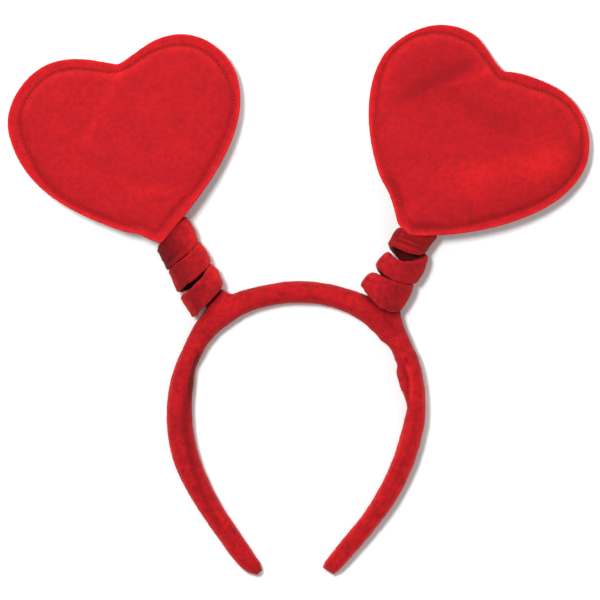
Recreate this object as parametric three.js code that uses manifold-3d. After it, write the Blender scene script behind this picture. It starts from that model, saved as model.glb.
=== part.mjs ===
// Heart boppers: two padded hearts on coiled springs, sewn to a plush headband.
// It lies face up on a table. Millimetres, X to the right, Y towards the hearts, Z up.

import * as THREE from 'three';
import * as BufferGeometryUtils from 'three/addons/utils/BufferGeometryUtils.js';
import Module from 'manifold-3d';

const wasm = await Module();
wasm.setup();

// Driving sizes of the headband
const crownRadius = 57;
const sleeveThickness = 10;
const sleeveHeight = 15;

// Driving sizes of the springs
const coilDiameter = 20;
const coilPitch = 13.2;
const ribbonThickness = 3;

// Driving sizes of the hearts
const heartLength = 91;
const heartPadding = 4;
const seamThickness = 1.3;
const stitchInset = 4.5;

// Gap between pieces that are sewn or pressed together
const clearance = 0.3;

// Fineness of the facets
const sleeveStations = 40;
const sleeveSides = 16;
const ribbonStepsPerTurn = 22;
const ribbonSides = 10;
const heartPoints = 60;

const degrees = Math.PI / 180;

// Centre line of the band on each side, walked from the crown down to the tip.
// A run is a share of the crown radius, and the line turns by that many degrees along it.
const bandRuns = {
  left: [
    { run: 0.59, turn: 28.7 },
    { run: 0.485, turn: 39 },
    { run: 0.76, turn: 33 },
    { run: 0.485, turn: 20 },
    { run: 0.82, turn: 10.5 },
  ],
  right: [
    { run: 0.485, turn: 21 },
    { run: 0.555, turn: 41.7 },
    { run: 0.855, turn: 44.4 },
    { run: 0.87, turn: 24.5 },
    { run: 0.405, turn: -9 },
  ],
};

// Sections of the sleeve, at shares of the way from crown to tip. Inner and outer are the
// reach of the plush to each side of the centre line, as shares of the sleeve's thickness,
// and tall is a share of its height. Outer swells where a spring is sewn in, and inner
// swells at the loose fold on the right.
const sleeveSections = {
  left: [
    { at: 0.0, inner: 0.52, outer: 0.52, tall: 1.0 },
    { at: 0.08, inner: 0.52, outer: 0.49, tall: 1.0 },
    { at: 0.142, inner: 0.53, outer: 0.55, tall: 1.0 },
    { at: 0.165, inner: 0.55, outer: 0.62, tall: 1.0 },
    { at: 0.18, inner: 0.58, outer: 1.0, tall: 1.0 },
    { at: 0.234, inner: 0.6, outer: 0.71, tall: 1.0 },
    { at: 0.265, inner: 0.57, outer: 0.59, tall: 1.0 },
    { at: 0.3, inner: 0.55, outer: 0.45, tall: 0.98 },
    { at: 0.34, inner: 0.54, outer: 0.41, tall: 0.98 },
    { at: 0.4, inner: 0.55, outer: 0.5, tall: 1.0 },
    { at: 0.5, inner: 0.6, outer: 0.6, tall: 0.98 },
    { at: 0.62, inner: 0.61, outer: 0.63, tall: 0.96 },
    { at: 0.7, inner: 0.58, outer: 0.57, tall: 0.92 },
    { at: 0.78, inner: 0.5, outer: 0.55, tall: 0.88 },
    { at: 0.86, inner: 0.47, outer: 0.51, tall: 0.84 },
    { at: 0.92, inner: 0.42, outer: 0.54, tall: 0.78 },
    { at: 0.965, inner: 0.35, outer: 0.48, tall: 0.7 },
    { at: 0.985, inner: 0.29, outer: 0.35, tall: 0.6 },
    { at: 1.0, inner: 0.16, outer: 0.18, tall: 0.4 },
  ],
  right: [
    { at: 0.0, inner: 0.52, outer: 0.52, tall: 1.0 },
    { at: 0.08, inner: 0.5, outer: 0.53, tall: 1.0 },
    { at: 0.16, inner: 0.56, outer: 0.55, tall: 1.0 },
    { at: 0.222, inner: 0.6, outer: 0.48, tall: 1.0 },
    { at: 0.253, inner: 0.66, outer: 1.0, tall: 1.0 },
    { at: 0.274, inner: 0.64, outer: 0.72, tall: 1.0 },
    { at: 0.302, inner: 0.56, outer: 0.54, tall: 1.0 },
    { at: 0.34, inner: 0.48, outer: 0.49, tall: 1.0 },
    { at: 0.37, inner: 0.52, outer: 0.53, tall: 1.0 },
    { at: 0.395, inner: 0.66, outer: 0.52, tall: 1.0 },
    { at: 0.42, inner: 0.67, outer: 0.5, tall: 1.0 },
    { at: 0.445, inner: 0.62, outer: 0.5, tall: 0.98 },
    { at: 0.475, inner: 0.47, outer: 0.49, tall: 0.97 },
    { at: 0.5, inner: 0.39, outer: 0.5, tall: 0.97 },
    { at: 0.53, inner: 0.47, outer: 0.5, tall: 0.97 },
    { at: 0.58, inner: 0.53, outer: 0.48, tall: 0.95 },
    { at: 0.66, inner: 0.51, outer: 0.5, tall: 0.92 },
    { at: 0.74, inner: 0.49, outer: 0.49, tall: 0.88 },
    { at: 0.82, inner: 0.44, outer: 0.44, tall: 0.84 },
    { at: 0.9, inner: 0.43, outer: 0.45, tall: 0.78 },
    { at: 0.96, inner: 0.42, outer: 0.38, tall: 0.7 },
    { at: 0.985, inner: 0.37, outer: 0.27, tall: 0.6 },
    { at: 1.0, inner: 0.2, outer: 0.12, tall: 0.4 },
  ],
};

// Course of each ribbon from its root in the band, where at counts its turns. Whole turns
// lie on the right edge of the coil, halves on the left and three-quarters on top. Low and
// high are the places of the ribbon's two edges along the axis, as shares of the pitch, and
// the reaches are how far those edges stand off the axis, as shares of the coil's radius.
const ribbonRows = {
  left: [
    { at: 0.0, low: -0.33, high: 0.12, lowReach: 1.0, highReach: 1.0 },
    { at: 0.25, low: -0.14, high: 0.46, lowReach: 1.0, highReach: 1.0 },
    { at: 0.5, low: 0.01, high: 0.84, lowReach: 1.03, highReach: 1.1 },
    { at: 0.75, low: 0.21, high: 1.03, lowReach: 0.98, highReach: 0.98 },
    { at: 1.0, low: 0.51, high: 1.34, lowReach: 0.97, highReach: 0.97 },
    { at: 1.25, low: 0.86, high: 1.58, lowReach: 1.0, highReach: 1.0 },
    { at: 1.5, low: 1.07, high: 1.89, lowReach: 1.05, highReach: 0.96 },
    { at: 1.75, low: 1.19, high: 2.05, lowReach: 0.97, highReach: 0.97 },
    { at: 2.0, low: 1.42, high: 2.25, lowReach: 0.96, highReach: 0.99 },
    { at: 2.25, low: 1.75, high: 2.5, lowReach: 0.95, highReach: 0.95 },
    { at: 2.5, low: 1.95, high: 2.76, lowReach: 0.95, highReach: 0.93 },
    { at: 2.75, low: 2.07, high: 3.05, lowReach: 0.95, highReach: 0.96 },
    { at: 3.0, low: 2.31, high: 3.27, lowReach: 0.9, highReach: 0.97 },
    { at: 3.25, low: 2.85, high: 3.6, lowReach: 0.8, highReach: 0.85 },
    { at: 3.5, low: 3.31, high: 3.97, lowReach: 0.72, highReach: 0.72 },
    { at: 4.0, low: 4.15, high: 4.65, lowReach: 0.6, highReach: 0.6 },
  ],
  right: [
    { at: 0.0, low: -0.33, high: 0.12, lowReach: 1.0, highReach: 1.0 },
    { at: 0.25, low: 0.0, high: 0.55, lowReach: 1.0, highReach: 1.0 },
    { at: 0.5, low: 0.38, high: 1.0, lowReach: 1.12, highReach: 0.95 },
    { at: 0.75, low: 0.15, high: 1.1, lowReach: 1.0, highReach: 0.98 },
    { at: 1.0, low: 0.34, high: 1.3, lowReach: 1.02, highReach: 1.06 },
    { at: 1.25, low: 0.85, high: 1.6, lowReach: 1.0, highReach: 1.0 },
    { at: 1.5, low: 1.27, high: 1.96, lowReach: 1.0, highReach: 0.72 },
    { at: 1.75, low: 1.14, high: 1.92, lowReach: 0.98, highReach: 0.96 },
    { at: 2.0, low: 1.4, high: 2.46, lowReach: 1.1, highReach: 1.02 },
    { at: 2.25, low: 1.85, high: 2.6, lowReach: 1.0, highReach: 1.0 },
    { at: 2.5, low: 2.15, high: 2.9, lowReach: 0.87, highReach: 0.85 },
    { at: 2.75, low: 2.31, high: 3.1, lowReach: 0.95, highReach: 0.9 },
    { at: 3.0, low: 2.62, high: 3.29, lowReach: 0.86, highReach: 0.97 },
    { at: 3.25, low: 3.0, high: 3.6, lowReach: 0.8, highReach: 0.8 },
    { at: 3.5, low: 3.38, high: 4.04, lowReach: 0.7, highReach: 0.7 },
    { at: 4.0, low: 4.2, high: 4.7, lowReach: 0.6, highReach: 0.6 },
  ],
};

// The ribbon starts inside the band's flare and ends inside the heart's padding
const ribbonStart = 0.03;
const ribbonEnd = 3.68;

// Outline of each half of a heart, from the tip round its side and lobe to the cleft.
// Lengths are shares of the heart's length, and the pulls are handles of the curves.
const heartHalves = {
  left: [
    { side: -1, wide: 0.645, wideAt: 0.765, lobe: 0.31, top: 1.087, tipAngle: 32, tipPull: 0.33,
      lowPull: 0.385, highPull: 0.167, outPull: 0.16, inPull: 0.14, cleftAngle: 17, cleftPull: 0.06 },
    { side: 1, wide: 0.597, wideAt: 0.757, lobe: 0.291, top: 1.078, tipAngle: 37, tipPull: 0.287,
      lowPull: 0.32, highPull: 0.14, outPull: 0.19, inPull: 0.13, cleftAngle: 11, cleftPull: 0.09 },
  ],
  right: [
    { side: -1, wide: 0.595, wideAt: 0.75, lobe: 0.25, top: 1.108, tipAngle: 23.7, tipPull: 0.322,
      lowPull: 0.296, highPull: 0.11, outPull: 0.24, inPull: 0.09, cleftAngle: 11, cleftPull: 0.09 },
    { side: 1, wide: 0.624, wideAt: 0.747, lobe: 0.283, top: 1.079, tipAngle: 27.5, tipPull: 0.289,
      lowPull: 0.303, highPull: 0.165, outPull: 0.2, inPull: 0.09, cleftAngle: 35, cleftPull: 0.075 },
  ],
};

// Profile of one panel from its edge inwards. Inset is a share of the stitch line's inset,
// seam a share of the seam's thickness and pad a share of the padding's height.
const panelProfile = [
  { inset: 0.0, seam: 0.35, pad: 0.0 },
  { inset: 0.16, seam: 1.0, pad: 0.0 },
  { inset: 0.78, seam: 1.0, pad: 0.0 },
  { inset: 1.0, seam: 0.75, pad: 0.0 },
  { inset: 1.25, seam: 1.0, pad: 0.2 },
  { inset: 1.8, seam: 1.0, pad: 0.52 },
  { inset: 2.9, seam: 1.0, pad: 0.8 },
  { inset: 5.0, seam: 1.0, pad: 0.95 },
  { inset: 9.0, seam: 1.0, pad: 1.0 },
];

// Soft dents in the front panels, placed and sized by shares of the heart's length and
// sunk by a share of the padding's height
const dents = {
  left: [
    { x: -0.2, y: 0.62, radius: 0.2, depth: 0.1 },
  ],
  right: [
    { x: -0.3, y: 0.63, radius: 0.14, depth: 0.24 },
    { x: -0.13, y: 0.17, radius: 0.07, depth: 0.3 },
  ],
};

// Where each bopper stands: its foot at a share of the way down the band and at a share of
// the sleeve's thickness outside the centre line, the lean of its spring from Y, and its
// heart's tip as rise (share of pitch) and shift (share of radius). Cleft is the height of
// the notch between the heart's lobes as a share of its length.
const boppers = {
  left: {
    sign: -1, foot: 0.22, footOut: 0.53, springLean: 29.7, heartLean: 13.8,
    tipRise: 2.89, tipShift: -0.59, cleft: 0.992,
  },
  right: {
    sign: 1, foot: 0.2135, footOut: 0.38, springLean: -27.9, heartLean: -29.8,
    tipRise: 2.84, tipShift: -0.2, cleft: 1.013,
  },
};

// Reads one column of a table at a place between its rows, on a smooth curve
function readRows(rows, place, column) {
  const last = rows.length - 1;
  let low = 0;
  while (low < last - 1 && place > rows[low + 1].at) {
    low += 1;
  }
  const slope = (index) => {
    const before = rows[Math.max(index - 1, 0)];
    const after = rows[Math.min(index + 1, last)];
    return (after[column] - before[column]) / (after.at - before.at);
  };
  const span = rows[low + 1].at - rows[low].at;
  const t = (place - rows[low].at) / span;
  const t2 = t * t;
  const t3 = t2 * t;
  return rows[low][column] * (2 * t3 - 3 * t2 + 1)
    + slope(low) * span * (t3 - 2 * t2 + t)
    + rows[low + 1][column] * (3 * t2 - 2 * t3)
    + slope(low + 1) * span * (t3 - t2);
}

// Joins rings of equal size into one closed body, with a fan over each end
function loft(rings) {
  const size = rings[0].length;
  const points = rings.flat();
  const triangles = [];
  for (let ring = 0; ring < rings.length - 1; ring += 1) {
    for (let side = 0; side < size; side += 1) {
      const a = ring * size + side;
      const b = ring * size + (side + 1) % size;
      triangles.push(a, b, b + size);
      triangles.push(a, b + size, a + size);
    }
  }
  const closeEnd = (ring, forward) => {
    const centre = new THREE.Vector3();
    rings[ring].forEach((point) => centre.addScaledVector(point, 1 / size));
    points.push(centre);
    for (let side = 0; side < size; side += 1) {
      const a = ring * size + side;
      const b = ring * size + (side + 1) % size;
      triangles.push(points.length - 1, forward ? a : b, forward ? b : a);
    }
  };
  closeEnd(0, false);
  closeEnd(rings.length - 1, true);
  if (signedVolume(points, triangles) < 0) {
    triangles.reverse();
  }
  const geometry = new THREE.BufferGeometry().setFromPoints(points);
  geometry.setIndex(triangles);
  return geometry;
}

function signedVolume(points, triangles) {
  let volume = 0;
  const cross = new THREE.Vector3();
  for (let i = 0; i < triangles.length; i += 3) {
    cross.crossVectors(points[triangles[i + 1]], points[triangles[i + 2]]);
    volume += points[triangles[i]].dot(cross) / 6;
  }
  return volume;
}

function solidOf(geometry) {
  const merged = BufferGeometryUtils.mergeVertices(geometry, 1e-5);
  const vertProperties = new Float32Array(merged.attributes.position.array);
  const triVerts = new Uint32Array(merged.index.array);
  return new wasm.Manifold(new wasm.Mesh({ numProp: 3, vertProperties, triVerts }));
}

function geometryOf(solid) {
  const mesh = solid.getMesh();
  const geometry = new THREE.BufferGeometry();
  geometry.setAttribute('position', new THREE.BufferAttribute(mesh.vertProperties, 3));
  geometry.setIndex(new THREE.BufferAttribute(mesh.triVerts, 1));
  return geometry;
}

// A point of a rounded section: its reach to each side may differ
function roundedPoint(angle, inner, outer, half, squareness) {
  const across = Math.sign(Math.cos(angle)) * Math.abs(Math.cos(angle)) ** squareness;
  const up = Math.sign(Math.sin(angle)) * Math.abs(Math.sin(angle)) ** squareness;
  return { across: across * (across > 0 ? outer : inner), up: up * half };
}

// Place on the band's centre line at a share of the way from crown to tip
function bandPlace(side, share) {
  const runs = bandRuns[side];
  const sign = boppers[side].sign;
  const total = runs.reduce((sum, row) => sum + row.run, 0);
  let left = share * total;
  let heading = 0;
  let x = 0;
  let y = crownRadius;
  for (const row of runs) {
    const part = Math.min(left, row.run);
    const turn = row.turn * degrees * part / row.run;
    const length = part * crownRadius;
    const chord = turn === 0 ? length : length * Math.sin(turn / 2) / (turn / 2);
    x += chord * Math.cos(heading + turn / 2);
    y -= chord * Math.sin(heading + turn / 2);
    heading += turn;
    left -= part;
  }
  const outward = new THREE.Vector3(sign * Math.sin(heading), Math.cos(heading), 0);
  return { point: new THREE.Vector3(sign * x, y, 0), outward };
}

// One ring of the sleeve. Its lowest side is flat, and lies on the table.
function sleeveRing(side, share) {
  const { point, outward } = bandPlace(side, share);
  const inner = readRows(sleeveSections[side], share, 'inner') * sleeveThickness;
  const outer = readRows(sleeveSections[side], share, 'outer') * sleeveThickness;
  const half = readRows(sleeveSections[side], share, 'tall') * sleeveHeight / 2;
  const squareness = 0.85;
  const lowest = roundedPoint(Math.PI * (1.5 + 1 / sleeveSides), 1, 1, half, squareness).up;
  const ring = [];
  for (let i = 0; i < sleeveSides; i += 1) {
    const angle = 2 * Math.PI * (i + 0.5) / sleeveSides;
    const { across, up } = roundedPoint(angle, inner, outer, half, squareness);
    const place = point.clone().addScaledVector(outward, across);
    place.z = Math.max(up - lowest, 0);
    ring.push(place);
  }
  return ring;
}

function makeSleeve() {
  const rings = [];
  for (let i = sleeveStations; i > 0; i -= 1) {
    rings.push(sleeveRing('left', i / sleeveStations));
  }
  for (let i = 0; i <= sleeveStations; i += 1) {
    rings.push(sleeveRing('right', i / sleeveStations));
  }
  return loft(rings);
}

// Axis of a spring: it stands on the band's outer edge and lies along the table
function springAxis(side) {
  const { foot, footOut, springLean } = boppers[side];
  const { point, outward } = bandPlace(side, foot);
  const start = point.addScaledVector(outward, footOut * sleeveThickness);
  start.z = coilDiameter / 2;
  const lean = springLean * degrees;
  return {
    start,
    along: new THREE.Vector3(-Math.sin(lean), Math.cos(lean), 0),
    across: new THREE.Vector3(Math.cos(lean), Math.sin(lean), 0),
  };
}

// The two edges of the ribbon's outer face after some turns, and the way off the coil's axis
function ribbonEdges(side, turns) {
  const { start, along, across } = springAxis(side);
  const rows = ribbonRows[side];
  const angle = (turns + 0.25) * 2 * Math.PI;
  const outward = new THREE.Vector3(0, 0, Math.cos(angle)).addScaledVector(across, Math.sin(angle));
  const edge = (place, reach) => start.clone()
    .addScaledVector(along, readRows(rows, turns, place) * coilPitch)
    .addScaledVector(outward, readRows(rows, turns, reach) * coilDiameter / 2);
  return { low: edge('low', 'lowReach'), high: edge('high', 'highReach'), outward };
}

// One ring of the ribbon, grown by a margin all round
function ribbonRing(side, turns, margin) {
  const { low, high, outward } = ribbonEdges(side, turns);
  const widthwise = high.clone().sub(low);
  const halfWidth = widthwise.length() / 2 + margin;
  widthwise.normalize();
  const thickwise = outward.clone().addScaledVector(widthwise, -outward.dot(widthwise));
  thickwise.normalize();
  const middle = low.clone().add(high).multiplyScalar(0.5);
  middle.addScaledVector(thickwise, -ribbonThickness / 2);
  const halfThickness = ribbonThickness / 2 + margin;
  const ring = [];
  for (let i = 0; i < ribbonSides; i += 1) {
    const angle = 2 * Math.PI * (i + 0.5) / ribbonSides;
    const { across, up } = roundedPoint(angle, halfWidth, halfWidth, halfThickness, 0.6);
    const place = middle.clone().addScaledVector(widthwise, across).addScaledVector(thickwise, up);
    place.z = Math.max(place.z, margin > 0 ? -margin : 0);
    ring.push(place);
  }
  return ring;
}

function makeRibbon(side, margin) {
  const reach = margin / (Math.PI * coilDiameter);
  const from = ribbonStart - reach;
  const to = ribbonEnd + reach;
  const steps = Math.round((to - from) * ribbonStepsPerTurn);
  const rings = [];
  for (let i = 0; i <= steps; i += 1) {
    rings.push(ribbonRing(side, from + (to - from) * i / steps, margin));
  }
  return loft(rings);
}

// Outline of a heart in its own plane, with its tip at the origin and its cleft up Y
function heartOutline(side) {
  const path = new THREE.Path();
  path.moveTo(0, 0);
  const [leftHalf, rightHalf] = heartHalves[side];
  const cleft = boppers[side].cleft;
  const scaled = (half) => (x, y) => [half.side * x * heartLength, y * heartLength];
  const tipHandle = (half) => scaled(half)(
    half.tipPull * Math.cos(half.tipAngle * degrees),
    half.tipPull * Math.sin(half.tipAngle * degrees),
  );
  const cleftHandle = (half) => scaled(half)(
    half.cleftPull * Math.cos(half.cleftAngle * degrees),
    cleft + half.cleftPull * Math.sin(half.cleftAngle * degrees),
  );
  const right = scaled(rightHalf);
  path.bezierCurveTo(...tipHandle(rightHalf), ...right(rightHalf.wide, rightHalf.wideAt - rightHalf.lowPull),
    ...right(rightHalf.wide, rightHalf.wideAt));
  path.bezierCurveTo(...right(rightHalf.wide, rightHalf.wideAt + rightHalf.highPull),
    ...right(rightHalf.lobe + rightHalf.outPull, rightHalf.top), ...right(rightHalf.lobe, rightHalf.top));
  path.bezierCurveTo(...right(rightHalf.lobe - rightHalf.inPull, rightHalf.top),
    ...cleftHandle(rightHalf), ...right(0, cleft));
  const left = scaled(leftHalf);
  path.bezierCurveTo(...cleftHandle(leftHalf), ...left(leftHalf.lobe - leftHalf.inPull, leftHalf.top),
    ...left(leftHalf.lobe, leftHalf.top));
  path.bezierCurveTo(...left(leftHalf.lobe + leftHalf.outPull, leftHalf.top),
    ...left(leftHalf.wide, leftHalf.wideAt + leftHalf.highPull), ...left(leftHalf.wide, leftHalf.wideAt));
  path.bezierCurveTo(...left(leftHalf.wide, leftHalf.wideAt - leftHalf.lowPull), ...tipHandle(leftHalf),
    0, 0);
  return path.getSpacedPoints(heartPoints).slice(0, heartPoints);
}

// The outline moved inwards towards the heart's middle by a distance
function insetOutline(outline, distance) {
  const middle = new THREE.Vector2(0, 0.56 * heartLength);
  return outline.map((point, index) => {
    const before = outline.at(index - 1);
    const after = outline[(index + 1) % outline.length];
    const normal = new THREE.Vector2(after.y - before.y, before.x - after.x).normalize();
    const ray = point.clone().sub(middle);
    const share = Math.exp(-distance / ray.dot(normal));
    return middle.clone().addScaledVector(ray, share);
  });
}

function dentAt(side, x, y) {
  return dents[side].reduce((sum, dent) => {
    const away = Math.hypot(x - dent.x * heartLength, y - dent.y * heartLength) / (dent.radius * heartLength);
    return sum + dent.depth * heartPadding * Math.exp(-away * away);
  }, 0);
}

// One panel in the heart's own axes, facing up (front) or down (back)
function makePanel(side, facing) {
  const outline = heartOutline(side);
  const rings = [outline.map((point) => new THREE.Vector3(point.x, point.y, facing * clearance / 2))];
  for (const row of panelProfile) {
    const ring = insetOutline(outline, row.inset * stitchInset).map((point) => {
      const dent = facing > 0 ? row.pad * dentAt(side, point.x, point.y) : 0;
      const height = row.seam * seamThickness + row.pad * heartPadding - dent;
      return new THREE.Vector3(point.x, point.y, facing * (clearance / 2 + height));
    });
    rings.push(ring);
  }
  return loft(rings);
}

// The heart's tip rests above the top turn of its spring, and its lobes touch the table
function heartPlacement(side) {
  const { tipRise, tipShift, heartLean } = boppers[side];
  const { start, along, across } = springAxis(side);
  const tip = start.addScaledVector(along, tipRise * coilPitch)
    .addScaledVector(across, tipShift * coilDiameter / 2);
  tip.z = coilDiameter + seamThickness + 1.5 * clearance;
  const back = makePanel(side, -1).attributes.position;
  let tilt = Math.PI / 2;
  for (let i = 0; i < back.count; i += 1) {
    const far = Math.hypot(back.getY(i), back.getZ(i));
    if (far > tip.z) {
      tilt = Math.min(tilt, Math.asin(tip.z / far) - Math.atan2(-back.getZ(i), back.getY(i)));
    }
  }
  return new THREE.Matrix4().makeTranslation(tip)
    .multiply(new THREE.Matrix4().makeRotationZ(heartLean * degrees))
    .multiply(new THREE.Matrix4().makeRotationX(-tilt));
}

const plush = {
  band: { color: 0xc81c22, roughness: 0.95, metalness: 0 },
  spring: { color: 0xa5191f, roughness: 0.95, metalness: 0 },
  heart: { color: 0xcf1f26, roughness: 0.92, metalness: 0 },
};

function addPiece(group, name, geometry, finish) {
  geometry.computeVertexNormals();
  const mesh = new THREE.Mesh(geometry, new THREE.MeshStandardMaterial(finish));
  mesh.name = name;
  group.add(mesh);
}

const bopper = new THREE.Group();
let sleeve = solidOf(makeSleeve());
for (const side of ['left', 'right']) {
  const room = solidOf(makeRibbon(side, clearance));
  sleeve = sleeve.subtract(room);
  addPiece(bopper, `${side}_spring`, makeRibbon(side, 0), plush.spring);
  const placement = heartPlacement(side);
  const front = solidOf(makePanel(side, 1).applyMatrix4(placement)).subtract(room);
  const back = solidOf(makePanel(side, -1).applyMatrix4(placement)).subtract(room);
  addPiece(bopper, `${side}_heart_front`, geometryOf(front), plush.heart);
  addPiece(bopper, `${side}_heart_back`, geometryOf(back), plush.heart);
}
addPiece(bopper, 'headband', geometryOf(sleeve), plush.band);

// The origin is the middle of the whole outline, on the table
const reach = new THREE.Box3().setFromObject(bopper, true);
bopper.position.set(-(reach.min.x + reach.max.x) / 2, -(reach.min.y + reach.max.y) / 2, -reach.min.z);

export default bopper;
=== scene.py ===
"""Heart head boppers: padded felt hearts on plush springs, sewn to a plush headband.

They lie face up on a pale table. Lengths are in metres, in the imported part's own frame.
"""

import logging
from dataclasses import dataclass, field
from enum import Enum

import bmesh
import bpy
import numpy as np
from mathutils import Matrix, Vector, noise
from mathutils.bvhtree import BVHTree
from mathutils.geometry import delaunay_2d_cdt
from mathutils.kdtree import KDTree


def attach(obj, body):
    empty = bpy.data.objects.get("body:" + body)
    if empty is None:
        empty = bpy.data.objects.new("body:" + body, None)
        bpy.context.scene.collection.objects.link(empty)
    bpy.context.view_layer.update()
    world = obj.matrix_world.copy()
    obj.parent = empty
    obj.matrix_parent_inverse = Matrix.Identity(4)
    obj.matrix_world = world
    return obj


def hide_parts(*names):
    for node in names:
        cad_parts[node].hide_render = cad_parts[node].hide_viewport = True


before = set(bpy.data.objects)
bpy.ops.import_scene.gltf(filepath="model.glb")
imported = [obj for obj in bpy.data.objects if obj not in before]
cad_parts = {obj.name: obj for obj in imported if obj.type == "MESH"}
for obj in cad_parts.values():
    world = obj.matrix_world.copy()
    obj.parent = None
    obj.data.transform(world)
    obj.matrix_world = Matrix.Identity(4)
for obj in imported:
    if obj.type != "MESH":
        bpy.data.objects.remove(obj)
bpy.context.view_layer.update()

LOG = logging.getLogger("boppers")
MM = 0.001

# Where the crown's centre of curvature lies in the frame
ORIGIN = np.array([-1.2268, -53.2387, 0.0]) * MM


class Side(Enum):
    """The side of the band on which a bopper stands, as the picture shows it."""

    LEFT = "left"
    RIGHT = "right"

    @property
    def sign(self) -> int:
        """Direction of this side along X."""
        return -1 if self is Side.LEFT else 1


class Table:
    """A short table whose columns are read on smooth curves between its rows."""

    def __init__(self, columns: str, *rows: tuple[float, ...]) -> None:
        """Keeps the rows.

        Args:
            columns: Names of the columns. The first is the place that rows stand at.
            rows: One tuple of numbers a row.
        """
        self.columns = columns.split()
        self.values = np.array(rows, float)

    def rows(self) -> list[dict[str, float]]:
        """Each row as numbers by the name of their column."""
        return [dict(zip(self.columns, row)) for row in self.values.tolist()]

    def column(self, name: str) -> np.ndarray:
        """All the numbers of one column."""
        return self.values[:, self.columns.index(name)]

    def read(self, name: str, place: np.ndarray | float) -> np.ndarray:
        """Reads a column between its rows.

        Args:
            name: The column.
            place: Places along the first column.

        Returns:
            The column's value at each place, on a Hermite curve.
        """
        at = self.values[:, 0]
        value = self.column(name)
        last = len(at) - 1
        place = np.asarray(place, float)
        low = np.clip(np.searchsorted(at, place) - 1, 0, last - 1)
        index = np.arange(last + 1)
        before = np.maximum(index - 1, 0)
        after = np.minimum(index + 1, last)
        slope = (value[after] - value[before]) / (at[after] - at[before])
        span = at[low + 1] - at[low]
        t = (place - at[low]) / span
        return (
            value[low] * (2 * t**3 - 3 * t**2 + 1)
            + slope[low] * span * (t**3 - 2 * t**2 + t)
            + value[low + 1] * (3 * t**2 - 2 * t**3)
            + slope[low + 1] * span * (t**3 - t**2)
        )


# Centre line of the band on each side, from the crown down to the tip: a run is a share of
# the crown's radius, and the line turns by that many degrees along it
BAND_RUNS = {
    Side.LEFT: ((0.59, 28.7), (0.485, 39), (0.76, 33), (0.485, 20), (0.82, 10.5)),
    Side.RIGHT: ((0.485, 21), (0.555, 41.7), (0.855, 44.4), (0.87, 24.5), (0.405, -9)),
}

# Reach of the plush to each side of the centre line as shares of the sleeve's thickness,
# and its height as a share of the sleeve's, at shares of the way from crown to tip
SLEEVE_SECTIONS = {
    Side.LEFT: Table(
        "at inner outer tall",
        (0.0, 0.52, 0.52, 1.0),
        (0.08, 0.52, 0.49, 1.0),
        (0.142, 0.53, 0.55, 1.0),
        (0.165, 0.55, 0.62, 1.0),
        (0.18, 0.58, 1.0, 1.0),
        (0.202, 0.6, 1.02, 1.0),
        (0.218, 0.61, 0.92, 1.0),
        (0.234, 0.6, 0.64, 1.0),
        (0.255, 0.58, 0.54, 1.0),
        (0.28, 0.57, 0.5, 1.0),
        (0.3, 0.55, 0.45, 0.98),
        (0.34, 0.54, 0.41, 0.98),
        (0.4, 0.55, 0.5, 1.0),
        (0.5, 0.6, 0.6, 0.98),
        (0.62, 0.61, 0.63, 0.96),
        (0.7, 0.58, 0.57, 0.92),
        (0.78, 0.5, 0.55, 0.88),
        (0.86, 0.47, 0.51, 0.84),
        (0.92, 0.42, 0.54, 0.78),
        (0.965, 0.35, 0.48, 0.7),
        (0.985, 0.29, 0.35, 0.6),
        (1.0, 0.16, 0.18, 0.4),
    ),
    Side.RIGHT: Table(
        "at inner outer tall",
        (0.0, 0.52, 0.52, 1.0),
        (0.08, 0.5, 0.53, 1.0),
        (0.16, 0.56, 0.55, 1.0),
        (0.19, 0.6, 0.63, 1.0),
        (0.215, 0.63, 0.72, 1.0),
        (0.24, 0.66, 0.9, 1.0),
        (0.256, 0.65, 1.0, 1.0),
        (0.27, 0.65, 0.8, 1.0),
        (0.285, 0.67, 0.66, 1.0),
        (0.302, 0.58, 0.57, 1.0),
        (0.325, 0.5, 0.51, 1.0),
        (0.345, 0.5, 0.49, 1.0),
        (0.357, 0.54, 0.51, 1.0),
        (0.372, 0.52, 0.53, 1.0),
        (0.395, 0.66, 0.52, 1.0),
        (0.42, 0.67, 0.5, 1.0),
        (0.445, 0.62, 0.5, 0.98),
        (0.475, 0.47, 0.49, 0.97),
        (0.5, 0.39, 0.5, 0.97),
        (0.53, 0.47, 0.5, 0.97),
        (0.58, 0.53, 0.48, 0.95),
        (0.66, 0.51, 0.5, 0.92),
        (0.74, 0.49, 0.49, 0.88),
        (0.82, 0.44, 0.44, 0.84),
        (0.9, 0.43, 0.45, 0.78),
        (0.96, 0.44, 0.38, 0.7),
        (0.985, 0.47, 0.3, 0.6),
        (1.0, 0.4, 0.2, 0.4),
    ),
}

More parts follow.
